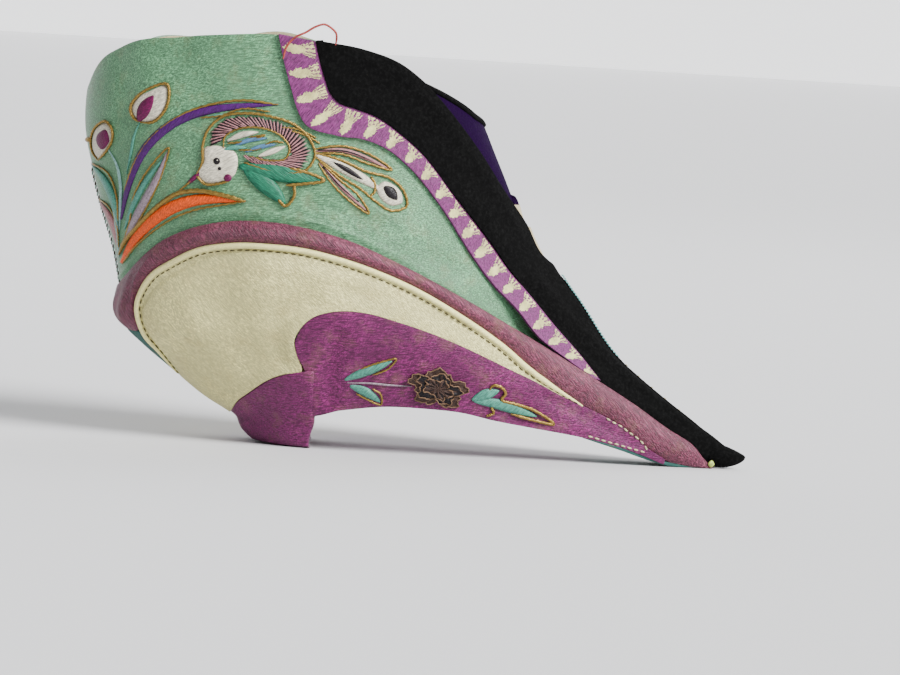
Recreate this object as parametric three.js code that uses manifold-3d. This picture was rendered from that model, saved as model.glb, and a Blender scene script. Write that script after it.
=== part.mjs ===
// Lotus shoe: a small heeled silk shoe with a pointed toe, standing on heel and forefoot.
// Millimetres. X runs from heel to toe, Y to the shoe's left, Z up from the floor.
import * as THREE from 'three';
import { mergeVertices } from 'three/addons/utils/BufferGeometryUtils.js';
import Module from 'manifold-3d';

const wasm = await Module();
wasm.setup();

// Driving sizes of the last
const length = 144;
const height = 87;
const width = 50;

// Thicknesses of the pieces
const wall = 1.6;
const insoleThickness = 1.5;
const tongueThickness = 1.0;
const facingThickness = 0.9;
const feltThickness = 1.0;
const ribbonThickness = 0.7;
const bandThickness = 2.0;
const pipingThickness = 1.9;
const coverThickness = 0.9;
const seamThickness = 1.5;
const stripThickness = 1.2;

// Widths of the narrow pieces, and the clearance between pieces that are sewn together
const pipingWidth = 1.8;
const frontSeamWidth = 1.8;
const backSeamWidth = 1.6;
const tuck = 4;
const clearance = 0.3;

// How finely the last is faceted
const stepsPerSide = 20;
const reach = 200;

// The last, as level sections from below the floor to above the collar.
// level is a share of the height; back, widest and front are shares of the length;
// half is a share of half the width; round is 0 for a pointed front and 1 for a round one.
const sections = [
  { level: -0.050, back: 0.310, widest: 0.400, front: 0.955, half: 0.36, round: 0 },
  { level: 0.000, back: 0.300, widest: 0.400, front: 0.975, half: 0.42, round: 0 },
  { level: 0.014, back: 0.281, widest: 0.400, front: 0.984, half: 0.44, round: 0 },
  { level: 0.035, back: 0.262, widest: 0.400, front: 0.988, half: 0.47, round: 0 },
  { level: 0.074, back: 0.245, widest: 0.398, front: 0.966, half: 0.52, round: 0 },
  { level: 0.115, back: 0.203, widest: 0.395, front: 0.934, half: 0.58, round: 0 },
  { level: 0.176, back: 0.154, widest: 0.390, front: 0.880, half: 0.68, round: 0 },
  { level: 0.230, back: 0.111, widest: 0.385, front: 0.835, half: 0.76, round: 0 },
  { level: 0.276, back: 0.080, widest: 0.380, front: 0.800, half: 0.83, round: 0 },
  { level: 0.357, back: 0.069, widest: 0.370, front: 0.755, half: 0.91, round: 0 },
  { level: 0.455, back: 0.055, widest: 0.345, front: 0.706, half: 0.97, round: 0 },
  { level: 0.552, back: 0.034, widest: 0.320, front: 0.671, half: 1.00, round: 0.25 },
  { level: 0.644, back: 0.017, widest: 0.300, front: 0.650, half: 1.00, round: 0.55 },
  { level: 0.741, back: 0.003, widest: 0.285, front: 0.625, half: 0.985, round: 0.80 },
  { level: 0.829, back: 0.002, widest: 0.280, front: 0.600, half: 0.965, round: 1 },
  { level: 0.909, back: 0.009, widest: 0.280, front: 0.571, half: 0.95, round: 1 },
  { level: 1.000, back: 0.022, widest: 0.280, front: 0.543, half: 0.94, round: 1 },
  { level: 1.070, back: 0.030, widest: 0.280, front: 0.530, half: 0.93, round: 1 },
];
const pointedPower = 2.2;
const roundPower = 2.0;

// Lines on the shoe's side. Each row is a share of the length from the back, and of the height.
const collarLine = side([
  [-0.100, 0.800], [0.000, 0.825], [0.024, 0.908], [0.059, 0.945], [0.095, 0.970], [0.138, 0.977],
  [0.190, 0.982], [0.281, 1.000], [0.340, 0.986], [0.402, 0.972], [0.461, 0.939], [0.492, 0.903],
  [0.531, 0.839], [0.578, 0.747], [0.618, 0.654], [0.655, 0.572], [0.683, 0.495], [0.720, 0.460],
  [1.200, 0.460],
]);
const bedLine = side([
  [-0.100, 0.276], [0.080, 0.276], [0.270, 0.255], [0.446, 0.220], [0.620, 0.155], [0.760, 0.098],
  [0.884, 0.052], [0.995, 0.040], [1.100, 0.040],
]);
const underLine = side([
  [-0.100, 0.000], [0.371, 0.000], [0.371, 0.083], [0.405, 0.098], [0.471, 0.114], [0.525, 0.114],
  [0.580, 0.108], [0.628, 0.092], [0.682, 0.076], [0.765, 0.054], [0.850, 0.023], [0.890, 0.000],
  [1.100, 0.000],
]);
const bandTop = side([
  [-0.100, 0.357], [0.066, 0.357], [0.079, 0.385], [0.099, 0.430], [0.133, 0.487], [0.176, 0.525],
  [0.226, 0.547], [0.285, 0.552], [0.344, 0.541], [0.403, 0.517], [0.478, 0.466], [0.553, 0.405],
  [0.629, 0.339], [0.689, 0.284], [0.765, 0.212], [0.837, 0.144], [0.888, 0.091], [0.928, 0.053],
  [0.947, 0.022], [0.960, 0.003], [1.100, 0.003],
]);
const pipingLine = side([
  [0.186, 0.118], [0.162, 0.170], [0.135, 0.220], [0.112, 0.262], [0.101, 0.316], [0.106, 0.363],
  [0.122, 0.409], [0.149, 0.444], [0.185, 0.478], [0.236, 0.496], [0.287, 0.496], [0.331, 0.488],
  [0.405, 0.459], [0.479, 0.415], [0.555, 0.357], [0.630, 0.296], [0.691, 0.244], [0.748, 0.169],
  [0.812, 0.100], [0.866, 0.047], [0.887, 0.032], [0.937, 0.008], [0.990, -0.040],
]);
const coverBottom = side([
  [-0.100, 0.074], [0.246, 0.080], [0.254, 0.108], [0.273, 0.137], [0.298, 0.170], [0.322, 0.188],
  [0.358, 0.205], [0.340, 0.235], [0.333, 0.270], [0.341, 0.300], [0.358, 0.324], [0.383, 0.336],
  [0.433, 0.336], [0.470, 0.324], [0.518, 0.300], [0.571, 0.274], [0.623, 0.239], [0.678, 0.206],
  [0.722, 0.171], [0.745, 0.166], [0.850, 0.150],
]);
const capFront = side([[0.358, 0.205], [0.366, 0.140], [0.372, 0.083], [0.372, -0.050]]);
const ribbonBack = side([
  [0.270, 1.100], [0.283, 1.000], [0.294, 0.928], [0.306, 0.869], [0.317, 0.819], [0.330, 0.786],
  [0.377, 0.764], [0.411, 0.760], [0.448, 0.739], [0.476, 0.706], [0.529, 0.611], [0.583, 0.486],
  [0.613, 0.425], [0.767, 0.222], [0.790, 0.150], [0.830, -0.100],
]);
const ribbonFront = side([
  [0.330, 1.100], [0.336, 0.988], [0.345, 0.933], [0.355, 0.888], [0.372, 0.845], [0.397, 0.831],
  [0.430, 0.813], [0.463, 0.779], [0.492, 0.741], [0.531, 0.665], [0.591, 0.554], [0.622, 0.489],
  [0.654, 0.415], [0.774, 0.219], [0.800, 0.150], [0.840, -0.100],
]);
const tongueTop = side([
  [0.300, 0.940], [0.400, 0.935], [0.477, 0.920], [0.529, 0.893], [0.575, 0.852], [0.640, 0.790],
]);
const tongueFootLevel = 0.600;
const facingFootLevel = 0.440;
const throatStart = 9;
const bandFootStart = 4;
const capCorner = 6;
const stripBackShare = 0.745;
const stripFrontShare = 0.940;

// Turns rows of shares into points on the side view
function side(rows) {
  return rows.map(([along, up]) => new THREE.Vector2(along * length, up * height));
}

// Moves a line to its left by a distance, with mitred corners
function shifted(line, distance) {
  const steps = line.slice(1).map((point, i) => point.clone().sub(line[i]).normalize());
  const normals = steps.map((step) => new THREE.Vector2(-step.y, step.x));
  return line.map((point, i) => {
    const before = normals[Math.max(i - 1, 0)];
    const after = normals[Math.min(i, normals.length - 1)];
    const mitre = before.clone().add(after);
    return point.clone().addScaledVector(mitre, distance / (1 + before.dot(after)));
  });
}

function solid(geometry) {
  geometry.deleteAttribute('normal');
  geometry.deleteAttribute('uv');
  const merged = mergeVertices(geometry, 1e-4);
  return new wasm.Manifold(new wasm.Mesh({
    numProp: 3,
    vertProperties: new Float32Array(merged.attributes.position.array),
    triVerts: new Uint32Array(merged.index.array),
  }));
}

// A region of the side view, carried right through the shoe from side to side
function through(points) {
  const shape = new THREE.Shape(points);
  const geometry = new THREE.ExtrudeGeometry(shape, { depth: reach, bevelEnabled: false });
  geometry.translate(0, 0, -reach / 2);
  geometry.rotateX(Math.PI / 2);
  return solid(geometry);
}

function above(line) {
  const far = [new THREE.Vector2(line.at(-1).x, reach), new THREE.Vector2(line[0].x, reach)];
  return through([...line, ...far]);
}

function below(line) {
  const far = [new THREE.Vector2(line.at(-1).x, -reach), new THREE.Vector2(line[0].x, -reach)];
  return through([...line, ...far]);
}

function inFront(line) {
  const far = [new THREE.Vector2(reach, line.at(-1).y), new THREE.Vector2(reach, line[0].y)];
  return through([...line, ...far]);
}

function behind(line) {
  const far = [new THREE.Vector2(-reach, line.at(-1).y), new THREE.Vector2(-reach, line[0].y)];
  return through([...line, ...far]);
}

// A level section of the last, grown outwards by a distance square to its surface
function ring(index, grow) {
  const row = sections[index];
  const lower = sections[Math.max(index - 1, 0)];
  const upper = sections[Math.min(index + 1, sections.length - 1)];
  const rise = (upper.level - lower.level) * height;
  const stretch = (run) => Math.hypot(1, run / rise);
  const back = row.back * length - grow * stretch((upper.back - lower.back) * length);
  const front = row.front * length + grow * stretch((upper.front - lower.front) * length);
  const half = row.half * width / 2 + grow * stretch((upper.half - lower.half) * width / 2);
  const widest = row.widest * length;
  const points = [];
  for (let i = 0; i < 2 * stepsPerSide; i += 1) {
    const turn = Math.PI * i / stepsPerSide;
    const run = Math.cos(turn);
    const ahead = run > 0;
    const power = ahead ? THREE.MathUtils.lerp(pointedPower, roundPower, row.round) : roundPower;
    const root = ahead ? 1 + row.round : roundPower;
    const x = widest + run * (ahead ? front - widest : widest - back);
    const y = half * Math.max(1 - Math.abs(run) ** power, 0) ** (1 / root);
    points.push(new THREE.Vector3(x, i < stepsPerSide ? y : -y, row.level * height));
  }
  return points;
}

// The whole last as one filled form, grown outwards by a distance
function last(grow) {
  const rings = sections.map((row, index) => ring(index, grow));
  const count = rings[0].length;
  const positions = rings.flat().flatMap((point) => point.toArray());
  const index = [];
  for (let level = 0; level < rings.length - 1; level += 1) {
    for (let i = 0; i < count; i += 1) {
      const a = level * count + i;
      const b = level * count + (i + 1) % count;
      index.push(a, b, b + count, a, b + count, a + count);
    }
  }
  const top = (rings.length - 1) * count;
  for (let i = 1; i < count - 1; i += 1) {
    index.push(0, i + 1, i);
    index.push(top, top + i, top + i + 1);
  }
  const geometry = new THREE.BufferGeometry();
  geometry.setAttribute('position', new THREE.Float32BufferAttribute(positions, 3));
  geometry.setIndex(index);
  return solid(geometry);
}

// A layer of cloth that lies on the last between two distances from its surface
function layer(inner, thickness) {
  return last(inner + thickness).subtract(last(inner));
}

// The half of a piece to one side of the middle, or the strip along the middle
function half(piece, sign, margin) {
  const box = new THREE.BoxGeometry(2 * reach, reach, 2 * reach);
  box.translate(0, sign * (reach / 2 + margin), 0);
  return piece.intersect(solid(box));
}

function middle(piece, stripWidth) {
  return piece.intersect(solid(new THREE.BoxGeometry(2 * reach, stripWidth, 2 * reach)));
}

// Finishes of the pieces
const finishes = {
  mint: { color: 0x87b9a0, roughness: 0.45 },
  felt: { color: 0x0f0f0e, roughness: 0.95 },
  violet: { color: 0x8c3287, roughness: 0.6 },
  mauve: { color: 0x966491, roughness: 0.5 },
  cream: { color: 0xc3bc96, roughness: 0.45 },
  magenta: { color: 0x963c8c, roughness: 0.45 },
  teal: { color: 0x3c827d, roughness: 0.6 },
  purple: { color: 0x23004b, roughness: 0.5 },
  ivory: { color: 0xd2c8aa, roughness: 0.8 },
  wood: { color: 0xb08a5a, roughness: 0.7 },
};

const shoe = new THREE.Group();

function add(name, piece, finish) {
  const { vertProperties, triVerts } = piece.getMesh();
  const geometry = new THREE.BufferGeometry();
  geometry.setAttribute('position', new THREE.Float32BufferAttribute(vertProperties, 3));
  geometry.setIndex([...triVerts]);
  geometry.computeVertexNormals();
  const mesh = new THREE.Mesh(geometry, new THREE.MeshStandardMaterial(finishes[finish]));
  mesh.name = name;
  shoe.add(mesh);
}

const sides = [['left', 1], ['right', -1]];

// Wooden sole and heel, under the covers
const coverSpace = clearance + coverThickness;
const stripSpace = clearance + stripThickness;
const woodLine = shifted(underLine, stripSpace);
const sole = last(0).intersect(above(woodLine)).intersect(below(bedLine));
add('sole', sole, 'wood');

// Insole on the bed, inside the wall
const insoleSeat = shifted(bedLine, clearance);
const insole = last(-wall - clearance)
  .intersect(above(insoleSeat))
  .intersect(below(shifted(insoleSeat, insoleThickness)));
add('insole', insole, 'ivory');

// Upper: one wall, open at the collar, the throat and underneath
const upperRegion = below(collarLine).intersect(above(insoleSeat));
const upper = last(0).subtract(last(-wall)).intersect(upperRegion);
add('upper', upper, 'mint');

// Tongue and the facing under it, inside the wall at the throat
const tongueDepth = wall + clearance + tongueThickness;
const throatTuck = inFront(shifted(collarLine, -tuck).slice(throatStart));
const tongueFoot = side([[0.4, tongueFootLevel], [0.8, tongueFootLevel]]);
const tongue = layer(-tongueDepth, tongueThickness)
  .intersect(throatTuck)
  .intersect(below(tongueTop))
  .intersect(above(tongueFoot));
add('tongue', tongue, 'purple');

const facingFoot = side([[0.4, facingFootLevel], [0.8, facingFootLevel]]);
const facing = layer(-wall - clearance - facingThickness, facingThickness)
  .intersect(throatTuck)
  .intersect(below(shifted(tongueFoot, -clearance)))
  .intersect(above(facingFoot));
add('throat_facing', facing, 'ivory');

// Overlays on the upper
const overlayRegion = below(collarLine).intersect(above(shifted(bandTop, clearance / 2)));
const felt = layer(clearance, feltThickness)
  .intersect(overlayRegion)
  .intersect(inFront(shifted(ribbonFront, clearance / 2)));
const ribbon = layer(clearance, ribbonThickness)
  .intersect(overlayRegion)
  .intersect(behind(shifted(ribbonFront, -clearance / 2)))
  .intersect(inFront(ribbonBack));
for (const [name, sign] of sides) {
  add(`vamp_${name}`, half(felt, sign, frontSeamWidth / 2 + clearance), 'felt');
  add(`ribbon_${name}`, half(ribbon, sign, 0), 'violet');
}

// Raised seams at the front ridge and up the back
const frontSeam = middle(layer(clearance, seamThickness), frontSeamWidth)
  .intersect(overlayRegion)
  .intersect(inFront(ribbonFront));
add('front_seam', frontSeam, 'felt');
const backSeam = middle(layer(clearance, seamThickness / 2), backSeamWidth)
  .intersect(overlayRegion)
  .intersect(behind(ribbonBack));
add('back_seam', backSeam, 'mint');

// Padded band round the foot, with the piping under it
const bandBottom = [...side([[-0.100, 0.316]]), ...pipingLine.slice(bandFootStart)];
const band = layer(clearance, bandThickness)
  .intersect(below(shifted(bandTop, -clearance / 2)))
  .intersect(above(shifted(bandBottom, clearance / 2)))
  .intersect(above(woodLine));
const pipingOuter = shifted(pipingLine, -clearance / 2);
const pipingInner = shifted(pipingOuter, -pipingWidth);
const coverTop = shifted(pipingInner, -clearance);
const aboveCovers = above(shifted(coverBottom, clearance / 2));
const piping = layer(clearance, pipingThickness)
  .intersect(below(pipingOuter))
  .subtract(below(pipingInner))
  .intersect(aboveCovers);

// Cream satin over the sole's sides and the back of the heel
const sideCover = layer(clearance, coverThickness)
  .intersect(below(coverTop))
  .intersect(aboveCovers);
for (const [name, sign] of sides) {
  add(`rim_band_${name}`, half(band, sign, clearance / 2), 'mauve');
  add(`piping_${name}`, half(piping, sign, clearance / 2), 'cream');
  add(`side_cover_${name}`, half(sideCover, sign, clearance / 2), 'cream');
}

// Teal strip at the heel's back, between the two runs of piping
const gusset = layer(clearance, coverThickness)
  .intersect(behind(shifted(pipingLine.slice(0, bandFootStart + 1), clearance / 2)))
  .intersect(below(shifted(bandBottom, -clearance / 2)));
add('back_gusset', gusset, 'teal');

// Magenta satin cup over the heel's tip, and the panel under and up the sides of the arch
const lining = last(clearance).intersect(above(shifted(underLine, coverThickness)));
const wrap = last(clearance + coverThickness).intersect(above(underLine)).subtract(lining);
const capTop = [...coverBottom.slice(0, capCorner + 1), ...side([[0.450, 0.205]])];
const heelCap = wrap
  .intersect(below(shifted(capTop, -clearance / 2)))
  .intersect(behind(shifted(capFront, -clearance / 2)));
add('heel_cap', heelCap, 'magenta');

const stripBack = stripBackShare * length;
const stripFront = stripFrontShare * length;
const stripStart = [new THREE.Vector2(stripBack, reach), new THREE.Vector2(stripBack, -reach)];
const stripEnd = [new THREE.Vector2(stripFront, reach), new THREE.Vector2(stripFront, -reach)];
const stripZone = below(woodLine).intersect(inFront(shifted(stripStart, -clearance)));
const archCover = wrap
  .intersect(below(shifted(coverBottom.slice(capCorner), -clearance / 2)))
  .intersect(below(shifted(bandBottom, -clearance / 2)))
  .subtract(behind(shifted(capFront, clearance / 2)))
  .subtract(stripZone);
add('arch_cover', archCover, 'magenta');

// Teal strip under the forefoot
const toeStrip = last(clearance + coverThickness)
  .intersect(above(underLine))
  .intersect(below(shifted(underLine, stripThickness)))
  .intersect(inFront(stripStart))
  .intersect(behind(stripEnd));
add('toe_strip', toeStrip, 'teal');

// The origin is on the floor under the middle of the shoe's length
const centre = new THREE.Box3().setFromObject(shoe).getCenter(new THREE.Vector3());
shoe.position.x = -centre.x;

export default shoe;
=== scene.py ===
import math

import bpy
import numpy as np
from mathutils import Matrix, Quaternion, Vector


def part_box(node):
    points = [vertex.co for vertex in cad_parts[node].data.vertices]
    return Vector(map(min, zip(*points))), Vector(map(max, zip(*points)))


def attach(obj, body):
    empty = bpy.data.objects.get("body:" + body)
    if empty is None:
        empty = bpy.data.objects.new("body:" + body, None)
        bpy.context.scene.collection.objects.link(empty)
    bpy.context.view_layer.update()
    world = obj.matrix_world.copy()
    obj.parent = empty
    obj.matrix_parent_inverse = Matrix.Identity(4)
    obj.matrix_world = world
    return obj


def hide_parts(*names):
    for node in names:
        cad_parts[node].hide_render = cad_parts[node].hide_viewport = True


bl_info = {
    "name": "Lotus shoe",
    "version": (1, 0, 0),
    "blender": (4, 5, 0),
    "location": "View3D > Sidebar > Lotus shoe",
    "description": "Dresses the lotus shoe's solids in satin, felt, ribbon and embroidery",
    "category": "Object",
}

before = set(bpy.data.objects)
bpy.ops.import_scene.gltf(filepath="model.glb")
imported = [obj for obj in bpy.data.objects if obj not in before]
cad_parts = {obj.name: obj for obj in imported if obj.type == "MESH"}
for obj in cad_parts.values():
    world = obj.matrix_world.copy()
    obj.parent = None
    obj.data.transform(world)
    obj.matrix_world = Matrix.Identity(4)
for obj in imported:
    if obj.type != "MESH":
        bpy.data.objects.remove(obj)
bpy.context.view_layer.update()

MM = 0.001

# The last, in the same shares and sizes as the solids
LENGTH = 0.144
HEIGHT = 0.087
WIDTH = 0.050
# Columns: level, back, widest, front, half width, roundness of the front
SECTIONS = np.array([
    [-0.050, 0.310, 0.400, 0.955, 0.36, 0.0],
    [0.000, 0.300, 0.400, 0.975, 0.42, 0.0],
    [0.014, 0.281, 0.400, 0.984, 0.44, 0.0],
    [0.035, 0.262, 0.400, 0.988, 0.47, 0.0],
    [0.074, 0.245, 0.398, 0.966, 0.52, 0.0],
    [0.115, 0.203, 0.395, 0.934, 0.58, 0.0],
    [0.176, 0.154, 0.390, 0.880, 0.68, 0.0],
    [0.230, 0.111, 0.385, 0.835, 0.76, 0.0],
    [0.276, 0.080, 0.380, 0.800, 0.83, 0.0],
    [0.357, 0.069, 0.370, 0.755, 0.91, 0.0],
    [0.455, 0.055, 0.345, 0.706, 0.97, 0.0],
    [0.552, 0.034, 0.320, 0.671, 1.00, 0.25],
    [0.644, 0.017, 0.300, 0.650, 1.00, 0.55],
    [0.741, 0.003, 0.285, 0.625, 0.985, 0.80],
    [0.829, 0.002, 0.280, 0.600, 0.965, 1.0],
    [0.909, 0.009, 0.280, 0.571, 0.95, 1.0],
    [1.000, 0.022, 0.280, 0.543, 0.94, 1.0],
    [1.070, 0.030, 0.280, 0.530, 0.93, 1.0],
])
POINTED_POWER = 2.2
ROUND_POWER = 2.0
BACKMOST = SECTIONS[:, 1].min()
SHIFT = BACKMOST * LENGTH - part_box("upper")[0].x

# Lines on the shoe's side: shares of the length from the back, and of the height
COLLAR = [
    (0.000, 0.825), (0.024, 0.908), (0.059, 0.945), (0.095, 0.970), (0.138, 0.977),
    (0.190, 0.982), (0.281, 1.000), (0.340, 0.986), (0.402, 0.972), (0.461, 0.939),
    (0.492, 0.903), (0.531, 0.839), (0.578, 0.747), (0.618, 0.654), (0.655, 0.572),
    (0.683, 0.495), (0.703, 0.467),
]
BED = [
    (0.080, 0.276), (0.270, 0.255), (0.446, 0.220), (0.620, 0.155), (0.760, 0.098),
    (0.884, 0.052), (0.986, 0.040),
]
BAND_TOP = [
    (0.066, 0.357), (0.079, 0.385), (0.099, 0.430), (0.133, 0.487), (0.176, 0.525),
    (0.226, 0.547), (0.285, 0.552), (0.344, 0.541), (0.403, 0.517), (0.478, 0.466),
    (0.553, 0.405), (0.629, 0.339), (0.689, 0.284), (0.765, 0.212), (0.837, 0.144),
    (0.888, 0.091), (0.928, 0.053), (0.947, 0.022), (0.960, 0.003),
]
PIPING = [
    (0.162, 0.170), (0.135, 0.220), (0.112, 0.262), (0.101, 0.316), (0.106, 0.363),
    (0.122, 0.409), (0.149, 0.444), (0.185, 0.478), (0.236, 0.497), (0.287, 0.500),
    (0.331, 0.496), (0.405, 0.471), (0.479, 0.428), (0.555, 0.365), (0.630, 0.288),
    (0.691, 0.210), (0.730, 0.168), (0.757, 0.142),
]
# The band's foot follows the piping, and goes on from its front end to the toe
BAND_FRONT = [
    (0.789, 0.119), (0.812, 0.100), (0.860, 0.044), (0.885, 0.020), (0.915, 0.006), (0.950, 0.002),
]
BAND_FOOT = [(0.081, 0.262), (0.104, 0.266), (0.100, 0.316)] + PIPING[4:] + BAND_FRONT
CAP_TOP = [
    (0.246, 0.080), (0.254, 0.108), (0.273, 0.137), (0.298, 0.170), (0.322, 0.188),
    (0.360, 0.203),
]
CAP_FOOT = [(0.300, 0.002), (0.335, 0.002), (0.361, 0.002)]
ARCH_TOP = [
    (0.333, 0.270), (0.341, 0.303), (0.358, 0.331), (0.383, 0.346), (0.433, 0.348),
    (0.470, 0.334), (0.536, 0.301), (0.577, 0.275), (0.616, 0.247), (0.652, 0.220),
    (0.685, 0.196), (0.722, 0.166), (0.757, 0.142),
]
ARCH_FOOT = [
    (0.333, 0.270), (0.338, 0.235), (0.350, 0.200), (0.355, 0.140), (0.360, 0.092),
    (0.405, 0.106), (0.471, 0.122), (0.525, 0.122), (0.580, 0.116), (0.628, 0.100),
    (0.682, 0.086), (0.765, 0.064), (0.850, 0.030), (0.884, 0.010),
]
ARCH_EDGE = ARCH_TOP + BAND_FRONT[:3] + [(0.886, 0.022)]
SATIN_FOOT = CAP_TOP[:5] + [(0.346, 0.196), (0.338, 0.235)] + ARCH_TOP
TOE_STRIP = [
    (0.760, 0.064), (0.790, 0.050), (0.820, 0.036), (0.850, 0.020), (0.890, 0.003), (0.950, 0.001),
]
# The flap: turns and levels of its head, then levels and how far it turns there
FLAP_FOOT = 0.60
FLAP_HEAD = np.array([(0, 0.818), (0.3, 0.835), (0.61, 0.884), (0.87, 0.922), (1.15, 0.935)])
FLAP_REACH = np.array([(0.5, 0.5), (0.6, 0.62), (0.7, 0.78), (0.8, 0.95), (0.9, 1.1), (0.95, 1.15)])
# How far the ridge lies under the last's at the toe
TOE_DROP = 1.7 * MM
# The bed inside ends short of the toe's point, at this share of its run
BED_RUN = 0.90

# Listed folds: width and height in millimetres, then a line on the side view
MINT_FOLDS = [
    (2.2, -0.35, (0.045, 0.940), (0.062, 0.860), (0.060, 0.780)),
    (2.6, 0.30, (0.085, 0.975), (0.098, 0.900), (0.105, 0.840)),
    (2.4, -0.30, (0.145, 0.990), (0.150, 0.930), (0.170, 0.860)),
    (3.0, 0.25, (0.205, 0.990), (0.200, 0.920), (0.220, 0.850)),
    (3.0, -0.22, (0.020, 0.660), (0.045, 0.560), (0.060, 0.450)),
    (2.5, 0.22, (0.300, 0.720), (0.400, 0.640), (0.500, 0.520)),
    (1.6, -0.22, (0.350, 0.600), (0.450, 0.560), (0.550, 0.470), (0.620, 0.390)),
    (4.0, -0.35, (0.150, 0.700), (0.240, 0.640), (0.330, 0.620)),
]
FELT_FOLDS = [
    (0.9, -0.55, (0.660, 0.420), (0.720, 0.318), (0.780, 0.242), (0.850, 0.165), (0.920, 0.092)),
    (0.8, 0.25, (0.680, 0.430), (0.740, 0.332), (0.800, 0.256), (0.870, 0.180), (0.930, 0.110)),
    (3.0, -0.30, (0.360, 0.960), (0.430, 0.900), (0.500, 0.800), (0.570, 0.660)),
    (1.0, 0.22, (0.400, 0.955), (0.470, 0.905), (0.535, 0.800), (0.600, 0.660), (0.650, 0.540)),
    (2.2, 0.28, (0.560, 0.640), (0.620, 0.520), (0.700, 0.390)),
]
CREAM_FOLDS = [
    (6.0, -0.70, (0.215, 0.410), (0.240, 0.290), (0.285, 0.180)),
    (2.4, -0.50, (0.350, 0.372), (0.312, 0.330), (0.305, 0.270), (0.325, 0.215)),
    (2.0, -0.20, (0.150, 0.300), (0.190, 0.200), (0.240, 0.120)),
    (2.6, 0.25, (0.175, 0.330), (0.215, 0.220), (0.262, 0.130)),
    (2.0, -0.20, (0.400, 0.400), (0.480, 0.385), (0.570, 0.320)),
    (1.6, 0.18, (0.260, 0.450), (0.350, 0.440), (0.450, 0.400)),
]
ARCH_FOLDS = [
    (2.0, -0.60, (0.392, 0.290), (0.386, 0.200), (0.390, 0.120)),
    (3.5, -0.35, (0.450, 0.200), (0.560, 0.180), (0.680, 0.130)),
    (1.6, 0.25, (0.350, 0.290), (0.375, 0.316), (0.420, 0.318)),
    (1.2, -0.25, (0.700, 0.160), (0.770, 0.110), (0.830, 0.060)),
]
# Rows of the ribbon's two edges stand square across from each other
RIBBON_BACK = [
    (0.283, 0.998), (0.294, 0.928), (0.306, 0.869), (0.317, 0.819), (0.330, 0.786),
    (0.377, 0.764), (0.411, 0.760), (0.448, 0.739), (0.476, 0.706), (0.529, 0.611),
    (0.583, 0.486), (0.613, 0.425), (0.651, 0.366), (0.687, 0.300), (0.726, 0.254), (0.772, 0.206),
]
RIBBON_FRONT = [
    (0.336, 0.986), (0.345, 0.933), (0.355, 0.888), (0.362, 0.862), (0.374, 0.843),
    (0.397, 0.831), (0.430, 0.813), (0.463, 0.779), (0.492, 0.741), (0.549, 0.633),
    (0.606, 0.521), (0.636, 0.457), (0.670, 0.397), (0.710, 0.326), (0.746, 0.266), (0.782, 0.201),
]

# Embroidery on the quarters: finish, width in millimetres, then the spine of each petal
PETALS = [
    ("orange", 2.7, (0.070, 0.420), (0.088, 0.477), (0.109, 0.522), (0.138, 0.562), (0.170, 0.587),
     (0.207, 0.597), (0.250, 0.596)),
    ("stalk", 2.0, (0.068, 0.528), (0.074, 0.587), (0.083, 0.643), (0.096, 0.694), (0.117, 0.739),
     (0.145, 0.776), (0.178, 0.801), (0.215, 0.816), (0.255, 0.825), (0.289, 0.831)),
    ("lilac", 1.9, (0.073, 0.470), (0.091, 0.537), (0.108, 0.593), (0.124, 0.650), (0.133, 0.701)),
    ("leaf", 1.3, (0.074, 0.505), (0.087, 0.570), (0.103, 0.625), (0.126, 0.682)),
    ("leaf", 1.7, (0.062, 0.524), (0.053, 0.579), (0.037, 0.624), (0.017, 0.653)),
    ("pink", 1.5, (0.064, 0.456), (0.055, 0.511), (0.043, 0.544), (0.029, 0.567)),
    ("pale", 0.8, (0.066, 0.432), (0.063, 0.481), (0.059, 0.530), (0.051, 0.579)),
    ("pale", 0.7, (0.043, 0.698), (0.058, 0.660), (0.065, 0.617), (0.066, 0.560), (0.066, 0.500)),
    ("leaf", 0.6, (0.090, 0.768), (0.082, 0.730), (0.079, 0.692), (0.074, 0.640)),
    ("leaf", 0.7, (0.186, 0.790), (0.210, 0.797), (0.236, 0.802)),
    ("heart", 2.9, (0.089, 0.769), (0.095, 0.793), (0.109, 0.832)),
    ("heart", 3.0, (0.036, 0.695), (0.036, 0.716), (0.040, 0.742)),
    ("red", 1.0, (0.184, 0.660), (0.174, 0.643), (0.163, 0.625)),
    ("white", 1.3, (0.219, 0.737), (0.239, 0.753), (0.263, 0.762)),
    ("blue", 1.0, (0.229, 0.725), (0.249, 0.741), (0.276, 0.749)),
    ("blue", 1.0, (0.246, 0.713), (0.266, 0.727), (0.290, 0.736)),
    ("white", 1.3, (0.265, 0.705), (0.285, 0.719), (0.303, 0.733)),
    ("leaf", 1.1, (0.213, 0.714), (0.229, 0.722), (0.248, 0.723)),
    ("green", 3.8, (0.238, 0.678), (0.283, 0.672), (0.324, 0.664), (0.358, 0.657)),
    ("green", 3.6, (0.246, 0.671), (0.272, 0.645), (0.292, 0.620), (0.307, 0.596)),
    ("pink", 1.0, (0.345, 0.725), (0.385, 0.731), (0.423, 0.714), (0.454, 0.692)),
    ("white", 2.3, (0.347, 0.717), (0.379, 0.695), (0.414, 0.668), (0.445, 0.640)),
    ("black", 1.2, (0.373, 0.701), (0.391, 0.687), (0.416, 0.664)),
    ("pink", 1.0, (0.353, 0.699), (0.379, 0.655), (0.402, 0.621), (0.426, 0.589)),
    ("black", 2.3, (0.447, 0.650), (0.457, 0.637), (0.467, 0.621)),
    ("black", 0.35, (0.350, 0.728), (0.390, 0.729), (0.430, 0.709)),
    ("black", 0.35, (0.358, 0.690), (0.383, 0.648), (0.412, 0.610)),
]
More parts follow.
